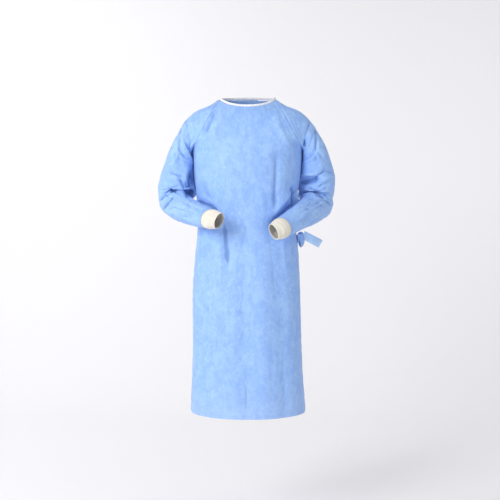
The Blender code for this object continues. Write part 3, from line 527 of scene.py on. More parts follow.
def lower_rows(depth_name, z):
    """Sections of the front or back below the underarm, at the heights z, each row towards the
    hem a little higher at its sides than in the middle."""
    keys = -column(LOWER_BODY, LOWER_COLUMNS, "z")
    rows = {n: smooth(keys, column(LOWER_BODY, LOWER_COLUMNS, n), -z) for n in LOWER_COLUMNS}
    rise = HEM_RISE * np.clip((HEM_RISE_TOP - z) / (HEM_RISE_TOP - LOWER_BODY[-1][0]), 0, 1) ** 2
    return {
        "mid_y": rows[depth_name], "mid_z": z,
        "left_x": rows["left_x"], "right_x": rows["right_x"],
        "end_y": rows["side_y"], "end_z": z + rise,
        "sweep": np.full(len(z), math.pi / 2),
    }


def body_rows(upper, depth_name):
    """The sections of the front or the back, from the neck edge to the hem."""
    high = upper_rows(upper, np.linspace(0, 1, SEAM_CELLS + 1))
    low = lower_rows(depth_name, lower_heights())
    return {name: np.concatenate([high[name], low[name]]) for name in high}


def body_grid(rows, places):
    """Points of the body: for each row an arc of an ellipse, flattened a little, from the right
    side (place -1) over the middle (0) to the left side (1).

    x is the side times sin(place sweep) / sin(sweep); the way from the middle's depth and
    height to the side's is (1 - cos(place sweep)) / (1 - cos(sweep)), to the power FLATNESS.
    The places are one list for all rows, or a row of places for each.
    """
    sweep = rows["sweep"][:, None]
    place = np.atleast_2d(np.asarray(places, float))
    side = np.where(place > 0, rows["left_x"][:, None], rows["right_x"][:, None])
    x = side * np.sin(place * sweep) / np.sin(sweep)
    way = ((1 - np.cos(place * sweep)) / (1 - np.cos(sweep))) ** FLATNESS
    y = rows["mid_y"][:, None] + (rows["end_y"] - rows["mid_y"])[:, None] * way
    z = rows["mid_z"][:, None] + (rows["end_z"] - rows["mid_z"])[:, None] * way
    return np.stack([x, y, z], axis=-1)


def seam_fade(grid, reach, hem=False):
    """One over most of a panel, easing to zero over the reach at its sides and top edge, and at
    its hem too where that is asked."""
    across, down = lengths_along(grid, 1), lengths_along(grid, 0)
    inside = np.minimum(across, across[:, -1:] - across)
    inside = np.minimum(inside, down)
    if hem:
        inside = np.minimum(inside, down[-1:] - down)
    return eased(inside / reach)


def relaxed(grid, row, reach=9):
    """The grid with its columns smoothed near one row, where two tables of sections meet: each
    pass moves a point half-way to the mean of the points above and below it."""
    near = np.exp(-(((np.arange(len(grid)) - row) / reach) ** 2))[:, None]
    share = 0.5 * (near * seam_fade(grid, 0.03))[1:-1, :, None]
    for _ in range(120):
        middle = (grid[:-2] + grid[2:]) / 2
        grid[1:-1] += share * (middle - grid[1:-1])
    return grid


def seam_swell(inward, height, reach=0.0045):
    """The cloth's swell beside a seam: it rises from the seam line to the height at the reach,
    and dies away past it."""
    return height * (inward / reach) * np.exp(1 - inward / reach)


def puckers(along, inward, seed, step=0.016, depth=0.0011, reach=0.016):
    """Short ripples square to a seam: soft noise along it, dying away with the distance in."""
    wave = soft_noise(along, np.zeros_like(along) + 0.3, step, seed)
    near = (inward / (0.25 * reach)) * np.exp(1 - inward / (0.25 * reach))
    return depth * wave * near


def skirt_ripples(x, z, seed):
    """Shallow upright ripples that grow from the waist towards the hem."""
    share = eased((-0.52 - z) / 0.40)
    wave = soft_noise(x + 0.02 * np.sin(3 * z), 0.12 * z, 0.034, seed)
    small = soft_noise(x, 0.10 * z, 0.015, seed + 1)
    return share * (0.0010 * wave + 0.0004 * small)


def front_surface():
    """The front panel from neck to hem: the body's sections, then folds, creases, ripples and
    puckers pushed along the outward normals."""
    grid = body_grid(body_rows(UPPER_FRONT, "front_y"), np.linspace(-1, 1, FRONT_CELLS + 1))
    grid = relaxed(grid, SEAM_CELLS)
    outward = grid_normals(grid)
    outward *= np.where(outward[..., 1:2] > 0.3, -1, 1)
    x, z = grid[..., 0], grid[..., 2]
    across, down = lengths_along(grid, 1), lengths_along(grid, 0)
    grid = grid + outward * (soft_folds(x, z, FRONT_FOLDS) * seam_fade(grid, 0.03))[..., None]
    fine = fine_creases(x, z, FRONT_CREASES) + skirt_ripples(x, z, 11)
    fine += 0.0007 * crumple(x, 0.6 * z, 0.030, 12) + 0.00035 * crumple(x, 0.7 * z, 0.013, 13)
    fine += scattered(x, z, 90, 14, (-0.2, -1.15), (0.2, -0.06), 0.0, 0.11, 0.0045, 0.0009)
    fine *= seam_fade(grid, 0.012)
    side = np.minimum(across, across[:, -1:] - across)
    fine += puckers(down, side, 15) * eased(down / 0.02)
    raglan = eased((z + 0.26) / 0.05)
    fine += seam_swell(side, 0.0006 + 0.0001 * raglan) * eased(down / 0.01)
    return grid + outward * fine[..., None]


def frame_shares():
    """The rows' places counted as the frame's rows are, from 0 at the neck to 1 at the hem."""
    upper = np.linspace(0, 1, SEAM_CELLS + 1) / 3
    lower = 1 / 3 + lower_steps() * 2 / 3
    return np.concatenate([upper, lower])


def back_detail(x, z):
    """The fine shape that both back panels share, so that one lies on the other."""
    fine = fine_creases(x, z, BACK_CREASES) + skirt_ripples(x, z, 21)
    fine += 0.0007 * crumple(x, 0.6 * z, 0.030, 22) + 0.0003 * crumple(x, 0.7 * z, 0.013, 23)
    return fine + scattered(x, z, 90, 24, (-0.2, -1.15), (0.2, -0.06), 0.0, 0.11, 0.0045, 0.0009)


def back_surface(side):
    """A back panel, from its side seam past the middle to its lap edge.

    The right panel laps over the left one, which drops inwards by LAP_DROP there.
    """
    rows = body_rows(UPPER_BACK, "back_y")
    shares = frame_shares()
    end = (LAP_TOP + LAP_GAIN * shares**LAP_CURVE)[:, None]
    single = 1 + (end - 1) * np.linspace(0, 1, BACK_SIDE_CELLS + 1)[None, :]
    double = end * np.linspace(1, -1, LAP_CELLS + 1)[None, 1:]
    places = side * np.concatenate([single, double], axis=1)
    base = relaxed(body_grid(rows, places), SEAM_CELLS)
    outward = grid_normals(base)
    outward *= np.where(outward[..., 1:2] < 0, -1, 1)
    x, z = base[..., 0], base[..., 2]
    mirrored = np.concatenate([base, base[:, ::-1][:, 1:]], axis=1)
    wide, narrow = (seam_fade(mirrored, reach)[:, :places.shape[1]] for reach in (0.03, 0.012))
    push = soft_folds(x, z, BACK_FOLDS) * wide + back_detail(x, z) * narrow
    across, down = lengths_along(base, 1), lengths_along(base, 0)
    push += puckers(down, across, 25 + side) * eased(down / 0.02)
    raglan = eased((z + 0.26) / 0.05)
    push += seam_swell(across, 0.0006 + 0.0001 * raglan) * eased(down / 0.01)
    if side == LEFT:
        push -= LAP_DROP * eased((1 - places) / (1 - end) * 1.15)
    return base + outward * push[..., None]


def neck_arc(side):
    """The short stretch of neck edge at the top of a sleeve, from the front seam to the back."""
    front, back = UPPER_FRONT[0], UPPER_BACK[0]
    t = np.linspace(-1, 1, 2 * NECK_CELLS + 1)
    x = side * (front[3] + (NECK_HALF_WIDTH - front[3]) * (1 - t**2))
    y = front[4] + (back[4] - front[4]) * (t + 1) / 2
    z = front[5] + (back[5] - front[5]) * (t + 1) / 2 + NECK_RISE * (1 - t**2)
    return np.stack([x, y, z], axis=-1)


def armhole(side):
    """The closed loop that a sleeve is sewn to, and the way it leaves the body there."""
    share = np.linspace(0, 1, SEAM_CELLS + 1)
    seams, leave = [], []
    for upper in (UPPER_FRONT, UPPER_BACK):
        keys = column(upper, UPPER_COLUMNS, "share")
        seams.append(np.stack([smooth(keys, column(upper, UPPER_COLUMNS, n), share)
                               for n in ("seam_x", "seam_y", "seam_z")], axis=-1))
        near = body_grid(upper_rows(upper, share), [0.97, 1.0])
        leave.append(unit(near[:, 1] - near[:, 0]))
    outward = np.array([math.cos(SHOULDER_SLOPE), 0, -math.sin(SHOULDER_SLOPE)])
    low = np.array(UNDERARM_WAY)
    for way in leave:
        blend = np.clip((share - 0.55) / 0.45, 0, 1)[:, None] ** 2
        high = np.clip(1 - share / 0.35, 0, 1)[:, None] ** 1.5
        turned = way * (1 - blend) * (1 - high) + low * blend + outward * high
        way[:] = unit(turned)
    arc = neck_arc(LEFT)
    middle = NECK_CELLS
    loop = np.concatenate([arc[middle::-1], seams[0][1:], seams[1][-2::-1], arc[-2:middle:-1]])
    ways = np.concatenate([np.tile(outward, (NECK_CELLS, 1)), leave[0], leave[1][-2::-1],
                           np.tile(outward, (NECK_CELLS - 1, 1))])
    mirror = np.array([side, 1, 1])
    return loop * mirror, ways * mirror


def ring_frames(side):
    """Centres, outward and forward directions and half-sizes of the sleeve's rings, the outward
    direction carried down the arm with the least turn."""
    table = SLEEVE_RINGS[side]
    centre = np.stack([column(table, RING_COLUMNS, n) for n in ("x", "y", "z")], axis=-1)
    along = unit(np.gradient(centre, axis=0))
    centre[-1] += SLEEVE_REACH[side]
    outward = [np.array([1.0, 0.12, 0.25])]
    for way in along:
        outward.append(unit(outward[-1] - way * np.dot(outward[-1], way)))
    outward = np.array(outward[1:])
    forward = np.cross(along, outward)
    mirror = np.array([side, 1, 1])
    sizes = [column(table, RING_COLUMNS, n) for n in ("out", "across")]
    return centre * mirror, outward * mirror, forward * mirror, sizes


def sleeve_angles():
    """Angles of the sleeve's columns: the neck stretch takes the top, the seams the rest."""
    neck = np.linspace(0, NECK_ANGLE, NECK_CELLS + 1)
    seam = np.linspace(NECK_ANGLE, 180, SEAM_CELLS + 1)
    half = np.concatenate([neck, seam[1:]])
    return np.radians(np.concatenate([half, 360 - half[-2:0:-1]]))


def turned_about(angles):
    """The angles in degrees from -180 to 180, zero at the top."""
    return (np.degrees(angles) + 180) % 360 - 180


def soft_sleeve_folds(at, turn):
    """Push of the sleeve's soft folds: bells in the place along and the angle round."""
    push = np.zeros((len(at), len(turn)))
    for place, angle, long, around, lean, depth in SLEEVE_CREASES:
        away = (turn - angle + 180) % 360 - 180
        shifted = at[:, None] - place - lean * away[None, :]
        push += depth * np.exp(-((shifted / long) ** 2) - ((away / around)[None, :] ** 2))
    return push


def sleeve_surface(side):
    """A sleeve from its armhole to the wrist, as a closed tube.

    Along each column a smooth curve leaves the armhole in the body's direction, meets the
    first ring, and then runs through the ring points, each being centre + out cos(angle)
    outward + across sin(angle) forward; folds and creases are pushed along the normals.
    """
    loop, ways = armhole(side)
    angles = sleeve_angles()
    centre, outward, forward, (out, across) = ring_frames(side)
    rings = (centre[:, None] + (out[:, None] * np.cos(angles))[..., None] * outward[:, None]
             + (across[:, None] * np.sin(angles))[..., None] * forward[:, None])
    keys = column(SLEEVE_RINGS[side], RING_COLUMNS, "at")
    at = np.linspace(0, 1, SLEEVE_STEPS + 1)
    tube = np.stack([smooth(keys, rings[:, j], np.maximum(at, keys[0]))
                     for j in range(len(angles))], axis=1)
    reach = np.linalg.norm(rings[0] - loop, axis=1)[:, None]
    first = ways * reach * SLEEVE_PULL
    last = unit(rings[1] - rings[0]) * reach * SLEEVE_PULL
    t = np.clip(at / keys[0], 0, 1)[:, None, None]
    cap = ((1 + 2 * t) * (1 - t) ** 2 * loop + t * (1 - t) ** 2 * first
           + t**2 * (3 - 2 * t) * rings[0] - t**2 * (1 - t) * last)
    grid = np.where(at[:, None, None] < keys[0], cap, tube)
    middle = grid.mean(axis=1, keepdims=True)
    drawn = 1 - (1 - CUFF_START_RADIUS[side] / out[-1]) * eased((at - 0.945) / 0.055)
    grid = middle + (grid - middle) * drawn[:, None, None]
    normals = grid_normals(grid, round_it=True)
    normals = normals * np.sign(np.sum(normals * (grid - grid.mean(axis=1, keepdims=True)),
                                       axis=(1, 2)))[:, None, None]
    turn = turned_about(angles)
    fade = np.clip(at / 0.10, 0, 1) * np.clip((1 - at) / 0.06, 0, 1)
    u = np.tile(turn * SLEEVE_DEGREE, (len(at), 1))
    v = np.tile(at[:, None] * SLEEVE_RUN, (1, len(turn)))
    ahead = eased(0.35 - 1.3 * normals[..., 1])
    push = soft_sleeve_folds(at, turn) * fade[:, None] * (
        1 - SOFT_AHEAD[side] * ahead * eased((at - 0.42) / 0.12)[:, None])
    inner = np.exp(-(((180 - np.abs(turn)) / 42) ** 2))[None, :]
    push += INNER_SIDE[side] * inner * (eased((at - 0.02) / 0.12) * eased((0.58 - at) / 0.2))[:, None]
    places, pushes = (column(OUTER_SIDE[side], OUTER_COLUMNS, n) for n in OUTER_COLUMNS)
    push += smooth(places, pushes, at)[:, None] * np.exp(-((turn / 52) ** 2))[None, :]
    beside = np.exp(-(((turn - 142) / 26) ** 2))[None, :]
    push += BESIDE_BODY[side] * beside * (eased((at - 0.10) / 0.12) * eased((0.56 - at) / 0.2))[:, None]
    fine = sleeve_detail(side, u, v)
    down = lengths_along(grid, 0)
    creases = fine_creases(grid[..., 0], grid[..., 2], SLEEVE_FRONT_CREASES[side])
    middle = side * 0.262
    creases += scattered(grid[..., 0], grid[..., 2], 26, 51 + side, (middle - 0.05, -0.425),
                         (middle + 0.05, -0.325), side * 1.05, 0.045, 0.0036, 0.0030)
    creases += scattered(grid[..., 0], grid[..., 2], 20, 55 + side, (side * 0.20 - 0.05, -0.455),
                         (side * 0.20 + 0.05, -0.385), side * 1.15, 0.060, 0.0045, 0.0018)
    push += (fine + ahead * creases) * eased(down / 0.012) * eased((SLEEVE_RUN - v) / 0.012)
    push += puckers(u * 1.0, down, 31 + side, depth=0.0012) * eased(down / 0.003)
    push += seam_swell(down, 0.0009)
    gather = eased((v - SLEEVE_RUN + 0.028) / 0.026)
    push += gather * 0.0010 * np.sin(np.radians(turn)[None, :] * 30 + 2 * soft_noise(u, v, 0.03, 33))
    return grid + normals * push[..., None], u, v


def fan(u, v, middle, turns, long, width, depth):
    """Creases that spread from one point: at each turn, in degrees from the v direction, one
    runs out for the length, in and out by turns."""
    total = np.zeros(u.shape)
    for index, turn in enumerate(turns):
        way = np.array([math.sin(math.radians(turn)), math.cos(math.radians(turn))])
        start = np.array(middle) + way * 0.006
        end = np.array(middle) + way * long * (0.75 + 0.25 * math.cos(2.4 * index))
        size = depth * (1 if index % 2 else -1)
        total += size * bell(u, v, *start, *end, width, 0.6)
    return total


def sleeve_detail(side, u, v):
    """Fine creases of a sleeve: fans at the armpit and the inner elbow, bands round the upper
    arm and forearm, and crushed facets all over."""
    fine = fan(u, v, (0.100, 0.375), (-100, -80, -62, -45, -28, -118, -140), 0.085, 0.0052, 0.0034)
    fine += fan(u, v, (0.105, 0.190), (-40, -58, -75, -20, 0, 18), 0.090, 0.0055, 0.0026)
    fine += fan(u, v, (-0.110, 0.380), (60, 80, 100, 120), 0.080, 0.0060, 0.0020)
    fine += scattered(u, v, 46, 41 + side, (-0.17, 0.26), (0.17, 0.50), 1.35, 0.075, 0.0045, 0.0016)
    fine += scattered(u, v, 34, 45 + side, (-0.17, 0.05), (0.17, 0.30), 0.5, 0.085, 0.0050, 0.0013)
    fine += 0.0008 * crumple(u, v, 0.026, 47 + side) + 0.0003 * crumple(u, v, 0.012, 49 + side)
    return fine


def cuff_surface(side):
    """A knit cuff: rings carried on from the sleeve's end, full at first, then drawn in, their
    line turning towards the middle; each ring's radius rises and falls with the ribs."""
    centre, outward, forward, _ = ring_frames(side)
    along = unit(centre[-1] - centre[-2] + np.array([0, 0, CUFF_LEVEL[side]]))
    angles = np.linspace(0, 2 * math.pi, CUFF_RIBS * CUFF_RIB_CELLS + 1)[:-1]
    way = np.linspace(0, 1, CUFF_STEPS + 1)
    turn = -side * CUFF_TURN * way
    cos, sin = np.cos(turn), np.sin(turn)

    def turned(vector):
        return np.stack([cos * vector[0] - sin * vector[1], sin * vector[0] + cos * vector[1],
                         np.full(len(way), vector[2])], axis=-1)

    start = CUFF_START_RADIUS[side]
    length = CUFF_LENGTH - np.linalg.norm(SLEEVE_REACH[side])
    radius = start - 0.0012 + 0.0020 * np.sin(math.pi * np.minimum(way * 1.3, 1))
    radius -= (start - CUFF_END_RADIUS) * way**2
    steps = turned(along) * (length / CUFF_STEPS)
    line = centre[-1] + along * 0.0003 + np.cumsum(steps, axis=0) - steps[0]
    ring = (np.cos(angles)[None, :, None] * turned(outward[-1])[:, None]
            + np.sin(angles)[None, :, None] * turned(forward[-1])[:, None])
    u = np.tile(angles * CUFF_RADIUS, (len(way), 1))
    v = np.tile(way[:, None] * length, (1, len(angles)))
    ribs = np.abs(np.cos(angles * CUFF_RIBS / 2))[None, :] ** 0.8 - 0.6
    wave = 0.0009 * soft_noise(u, v, 0.021, 61 + side)
    wave += 0.0005 * np.sin(v * 460 + 3 * soft_noise(u, v, 0.03, 62))
    rim = 0.0007 * np.exp(-(((v - length + 0.0022) / 0.0020) ** 2))
    rise = radius[:, None] + CUFF_RIB_DEPTH * ribs + wave * np.sin(math.pi * way)[:, None] + rim
    return line[:, None] + ring * rise[..., None], u, v


def neck_edge():
    """The neck edge from the outer lap end round the front to the inner lap end, and a share
    that grows from zero to one where it drops under the outer lap."""
    neck = np.zeros(1)
    front = body_grid(upper_rows(UPPER_FRONT, neck), np.linspace(-1, 1, 121))[0]
    rows = upper_rows(UPPER_BACK, neck)
    outer = body_grid(rows, np.linspace(LAP_TOP, -1, 90))[0]
    inner = body_grid(rows, np.linspace(1, -LAP_TOP, 90))[0]
    right, left = neck_arc(RIGHT)[::-1], neck_arc(LEFT)
    line = np.concatenate([outer, right[1:], front[1:], left[1:], inner[1:]])
    drop = np.concatenate([np.zeros(len(line) - len(inner)), np.linspace(0, 1, len(inner))])
    return line, eased(drop / 0.45)


def binding_surface():
    """The neck binding: a strip folded over the neck edge, and carried along it.

    The section runs up the outside, over the top and down the inside: half-height sin^0.6 up
    and half-wall cos^0.6 out at each angle, rippling a little along the edge.
    """
    line, drop = neck_edge()
    tangent = unit(np.gradient(line, axis=0))
    outward = unit(np.cross(tangent, np.array([0, 0, 1.0])))
    outward *= np.sign(np.sum(outward * (line - line.mean(axis=0)), axis=1, keepdims=True))
    run = np.concatenate([[0], np.cumsum(np.linalg.norm(np.diff(line, axis=0), axis=1))])
    line = line - outward * (LAP_DROP * drop)[:, None]
    rise = unit(np.array([0, 0, 1.0]) - outward * BINDING_LEAN)
    wave = 0.0005 * soft_noise(run, run * 0, 0.022, 71) + 0.0003 * soft_noise(run, run * 0, 0.008, 72)
    middle = line + rise * (BINDING_HEIGHT / 2 + 0.0001 + 0.5 * wave)[:, None]
    middle = middle - outward * (BINDING_WALL / 2 - wave)[:, None]
    angle = np.radians(np.linspace(-82, 262, 29))
    up = np.sign(np.sin(angle)) * np.abs(np.sin(angle)) ** 0.6 * (BINDING_HEIGHT / 2 - 0.0002)
    wide = np.sign(np.cos(angle)) * np.abs(np.cos(angle)) ** 0.6 * BINDING_WALL / 2
    section = rise[:, None] * up[None, :, None] + outward[:, None] * wide[None, :, None]
    grid = middle[:, None] + section
    return grid, np.tile(run[:, None], (1, len(up))), lengths_along(grid, 1)


def binding_line(surface):
    """A stitched line near each long edge of the folded strip, with its run along the strip."""
    _, run, across = surface
    total = across[:, -1:]
    return run, np.minimum(across, total - across) - 0.0018


def outer_back(rows, places):
    """Points on the outer lap's level of the back, with its folds, and the outward normals."""
    base = body_grid(rows, places)
    outward = grid_normals(base)
    outward *= np.where(outward[..., 1:2] < 0, -1, 1)
    x, z = base[..., 0], base[..., 2]
    push = soft_folds(x, z, BACK_FOLDS) + back_detail(x, z)
    return base + outward * push[..., None], outward


def belt_band_surface():
    """The belt from the outer lap's edge round the gown's left to the knot at the side: the
    back's surface moved out, its width waved a little along its run."""
    share = np.linspace(0.5, -0.5, 13)
    places = np.linspace(BAND_START, BAND_END, 110)
    surface, outward = outer_back(lower_rows("back_y", BELT_Z + BELT_WIDTH * share), places)
    run = lengths_along(surface, 1)
    wave = 0.0006 * soft_noise(run, share[:, None] * 0.03, 0.020, 81)
    pinch = eased((run - run[:, -1:] + 0.030) / 0.030)
    surface[..., 2] += -(share[:, None] * BELT_WIDTH) * 0.35 * pinch
    fold = 0.0008 * np.cos(share[:, None] * 26) * pinch
    return surface + outward * (BELT_CLEAR + wave + fold)[..., None]


def ribbon(line, width_ways, width, bow=0.0, cells=12):
    """A strip of cloth: the line moved half the width each way along its width directions, its
    middle raised by bow along the strip's own normal."""
    along = unit(np.gradient(line, axis=0))
    ways = unit(width_ways - along * np.sum(width_ways * along, axis=1, keepdims=True))
    normal = np.cross(along, ways)
    shares = np.linspace(-0.5, 0.5, cells + 1)
    run = np.concatenate([[0], np.cumsum(np.linalg.norm(np.diff(line, axis=0), axis=1))])
    place, edge = np.broadcast_arrays(run[:, None], shares[None, :] * 0.03)
    lift = bow * (1 - (2 * shares) ** 2)[None, :] + 0.0005 * soft_noise(place, edge, 0.014, 83)
    spread = ways[:, None] * (shares * width)[None, :, None]
    return line[:, None] + spread + normal[:, None] * lift[..., None]


def tail_front_surface():
    """The belt's free end that stands out at the side, its face to the front."""
    t = np.linspace(0, 1, 70)
    path = np.stack([column(TAIL_FRONT, PATH_COLUMNS, n) for n in ("x", "y", "z")], axis=-1)
    line = smooth(column(TAIL_FRONT, PATH_COLUMNS, "at"), path, t)
    ways = smooth([0, 1], np.array([[0.12, 0.22, 0.97], [0.34, 0.12, 0.93]]), t)
    return ribbon(line, ways, BELT_WIDTH, bow=0.0016)


def tail_back_surface():
    """The belt's other end: from the knot it crosses the band and hangs down the left back,
    each row read off the back's surface at set lengths of cloth from the side line."""
    t = np.linspace(0, 1, 90)
    z = BELT_Z - 0.006 - TAIL_BACK_LENGTH * t
    surface, outward = outer_back(lower_rows("back_y", z), np.linspace(1.0, 0.4, 121))
    run = lengths_along(surface, 1)
    over_band = np.clip((z - (BELT_Z - 0.6 * BELT_WIDTH)) / 0.003, 0, 1) * BELT_STACK
    raised = surface + outward * (BELT_CLEAR + over_band)[:, None, None]
    away = TAIL_BACK_START + TAIL_BACK_DRIFT * t + 0.002 * np.sin(9 * t)
    reach = away[:, None] + BELT_WIDTH * np.linspace(-0.5, 0.5, 13)[None, :]
    return np.stack([np.stack([np.interp(reach[i], run[i], raised[i, :, k]) for k in range(3)],
                              axis=-1) for i in range(len(z))])


def loop_surface():
    """The bow's loop: a teardrop that hangs from the knot, its opening turned to the front; its
    half-width is sin(turn) times sin(turn / 2) to a power, down its length."""
    turn = np.linspace(0.14, 2 * math.pi - 0.14, 97)
    down = LOOP_LENGTH * (1 - np.cos(turn)) / 2
    side = LOOP_SPREAD / 2 * np.sin(turn) * np.sin(turn / 2) ** 0.8
    x = side * math.cos(LOOP_LEAN) + down * math.sin(LOOP_LEAN)
    z = -down * math.cos(LOOP_LEAN) + side * math.sin(LOOP_LEAN)
    line = np.array(LOOP_TOP) + np.stack([x, 0.10 * down, z], axis=-1)
    swing = np.radians(32 + 46 * np.sin(turn / 2) ** 4)
    ways = np.stack([np.cos(swing), np.sin(swing), 0 * swing + 0.10], axis=-1)
    return ribbon(line, ways, BELT_WIDTH * 0.8)


def tab_surface():
    """The neck tab: sewn to the outer lap below the binding, it crosses the lap's edge and
    comes down on to the inner panel."""
    rows = upper_rows(UPPER_BACK, TAB_TOP + np.linspace(0, TAB_SIZE[1] / RAGLAN_RUN, 21))
    half = rows["left_x"][0]
    across = np.linspace(-0.60, 0.40, 61) * TAB_SIZE[0] / half
    surface, outward = outer_back(rows, LAP_TOP + 0.02 + across)
    drop = eased((across - 0.02 * TAB_SIZE[0] / half) / (0.14 * TAB_SIZE[0] / half))
    level = 0.0010 + 0.0012 - LAP_DROP * drop
    return surface + outward * level[None, :, None]


def knot_surface():
    """The knot: a closed ball, flattened against the side, its radius cut by the grooves
    between the turns of cloth: 1 - 0.16 cos(2 angle) times 1 + groove waves along its lean."""
    turn = np.linspace(0, 2 * math.pi, 73)[:-1]
    rise = np.linspace(0.001, math.pi - 0.001, 49)
    ball = np.stack([np.sin(rise)[:, None] * np.cos(turn)[None, :],
                     np.sin(rise)[:, None] * np.sin(turn)[None, :],
                     np.cos(rise)[:, None] + 0 * turn[None, :]], axis=-1)
    pinch = 1 - 0.16 * np.cos(2 * np.arctan2(ball[..., 2], ball[..., 1]))
    lean = ball @ unit(np.array([0.25, 0.80, 0.55]))
    cross = ball @ unit(np.array([0.20, -0.55, 0.80]))
    grooves = 0.07 * np.abs(np.sin(4.2 * lean)) ** 0.6 * eased((0.5 - np.abs(cross)) / 0.2)
    grooves += 0.05 * np.abs(np.sin(5.0 * cross)) ** 0.6 * eased((np.abs(cross) - 0.35) / 0.2)
    radius = (pinch * (0.94 + grooves))[..., None]
    grid = ball * radius * np.array(KNOT_SIZE) / 2 + np.array(KNOT_CENTRE)
    across = np.tile(turn * KNOT_ROUND / (2 * math.pi), (len(rise), 1))
    return grid, across, np.tile(rise[:, None] * 0.012, (1, len(turn)))


def add(tree, kind, sockets=None, **settings):
    """A shader node of the kind: its settings, then each input's value or the socket linked."""
    node = tree.nodes.new("ShaderNode" + kind)
    for name, value in settings.items():
        setattr(node, name, value)
    for name, value in (sockets or {}).items():
        if isinstance(value, bpy.types.NodeSocket):
            tree.links.new(value, node.inputs[name])
        else:
            node.inputs[name].default_value = value
    return node


def calc(tree, operation, *values):
    """The output of a Math node on up to three values or sockets."""
    return add(tree, "Math", dict(enumerate(values)), operation=operation).outputs[0]


def mapped(tree, value, low, high, to_low=0.0, to_high=1.0):
    """The value carried from one range to another, eased and held at its ends."""
    sockets = {"Value": value, "From Min": low, "From Max": high, "To Min": to_low, "To Max": to_high}
    node = add(tree, "MapRange", sockets, interpolation_type="SMOOTHSTEP", clamp=True)
    return node.outputs["Result"]


def blended(tree, share, first, second):
    """A colour between the first and the second."""
    node = add(tree, "Mix", data_type="RGBA", blend_type="MIX")
    for index, value in ((0, share), (6, first), (7, second)):
        if isinstance(value, bpy.types.NodeSocket):
            tree.links.new(value, node.inputs[index])
        else:
            node.inputs[index].default_value = value
    return node.outputs[2]


def new_group(name, inputs, outputs):
    """A shader node group with named inputs, each with its default, and named outputs."""
    tree = bpy.data.node_groups.new(name, "ShaderNodeTree")
    kinds = {"f": "NodeSocketFloat", "v": "NodeSocketVector", "c": "NodeSocketColor"}
    for title, kind, value in inputs:
        made = tree.interface.new_socket(title, in_out="INPUT", socket_type=kinds[kind])
        if value is not None:
            made.default_value = value
    for title, kind in outputs:
        tree.interface.new_socket(title, in_out="OUTPUT", socket_type=kinds[kind])
    return tree, tree.nodes.new("NodeGroupInput").outputs, tree.nodes.new("NodeGroupOutput").inputs


def stretched(tree, vector, x, y, z=1.0):
    """The vector with its parts scaled."""
    return add(tree, "Mapping", {"Vector": vector, "Scale": (x, y, z)}).outputs["Vector"]


def noise(tree, vector, scale, detail=3.0, rough=0.55, warp=0.0):
    """A Noise texture's value, from 0 to 1."""
    sockets = {"Vector": vector, "Scale": scale, "Detail": detail, "Roughness": rough,
               "Distortion": warp}
    return add(tree, "TexNoise", sockets, noise_dimensions="3D").outputs[0]


def nonwoven_group():
    """Pressed fibre cloth: clouds of thick and thin web drawn out along the roll, short pale
    fibres, and rows of pressed bond points. Tone is 0 where the web is thin, 1 where thick."""
    tree, given, made = new_group("pressed_fibre_cloth", [
        ("Cloth", "v", None), ("Clouds", "f", 20.0), ("Flecks", "f", 84.0),
        ("Streak", "f", 0.80), ("Bond Pitch", "f", 620.0),
    ], [("Tone", "f"), ("Fleck", "f"), ("Relief", "f")])
    drawn = add(tree, "CombineXYZ", {"X": 1.0, "Y": given["Streak"], "Z": 1.0}).outputs[0]
    along = add(tree, "VectorMath", {0: given["Cloth"], 1: drawn}, operation="MULTIPLY").outputs[0]
    cloud = noise(tree, along, given["Clouds"], 3.0, 0.6, 0.7)
    patch = noise(tree, along, calc(tree, "MULTIPLY", given["Clouds"], 2.3), 2.0, 0.6, 0.6)
    fleck = noise(tree, along, given["Flecks"], 3.0, 0.65, 1.2)
    fibre = noise(tree, stretched(tree, given["Cloth"], 900.0, 160.0), 1.0, 2.0, 0.6, 2.0)
    tone = calc(tree, "MULTIPLY_ADD", cloud, 1.0, calc(tree, "MULTIPLY", patch, 0.7))
    tone = calc(tree, "MULTIPLY_ADD", fleck, 0.75, tone)
    tone = calc(tree, "MULTIPLY_ADD", fibre, 0.25, tone)
    tree.links.new(mapped(tree, tone, 1.08, 1.62), made["Tone"])
    tree.links.new(mapped(tree, fleck, 0.56, 0.74), made["Fleck"])
    scaled = add(tree, "VectorMath", {0: given["Cloth"], "Scale": given["Bond Pitch"]},
                 operation="SCALE").outputs[0]
    sockets = {"Vector": stretched(tree, scaled, 1.0, 0.62), "Scale": 1.0, "Randomness": 0.12}
    points = add(tree, "TexVoronoi", sockets, voronoi_dimensions="2D").outputs["Distance"]
    dents = mapped(tree, points, 0.12, 0.34)
    relief = calc(tree, "MULTIPLY_ADD", fibre, 0.5, calc(tree, "MULTIPLY", dents, 0.6))
    tree.links.new(calc(tree, "MULTIPLY_ADD", fleck, 0.8, relief), made["Relief"])
    return tree


def stitch_group():
    """A row of stitches: Thread is 1 on each stitch, and Dent is the furrow that they lie in.
    The Line's x runs along the row in metres, and its y is the distance from it."""
    tree, given, made = new_group("stitch_row", [
        ("Line", "v", None), ("Pitch", "f", 0.0034), ("Half Width", "f", 0.00055),
    ], [("Thread", "f"), ("Dent", "f")])
    parts = add(tree, "SeparateXYZ", {0: given["Line"]}).outputs
    off = calc(tree, "ABSOLUTE", parts[1])
    step = calc(tree, "FRACT", calc(tree, "DIVIDE", parts[0], given["Pitch"]))
    middle = calc(tree, "ABSOLUTE", calc(tree, "SUBTRACT", step, 0.5))
    on = mapped(tree, middle, 0.40, 0.32)
    edge = calc(tree, "DIVIDE", off, given["Half Width"])
    tree.links.new(calc(tree, "MULTIPLY", on, mapped(tree, edge, 1.2, 0.6)), made["Thread"])
    tree.links.new(mapped(tree, edge, 4.0, 0.5), made["Dent"])
    return tree


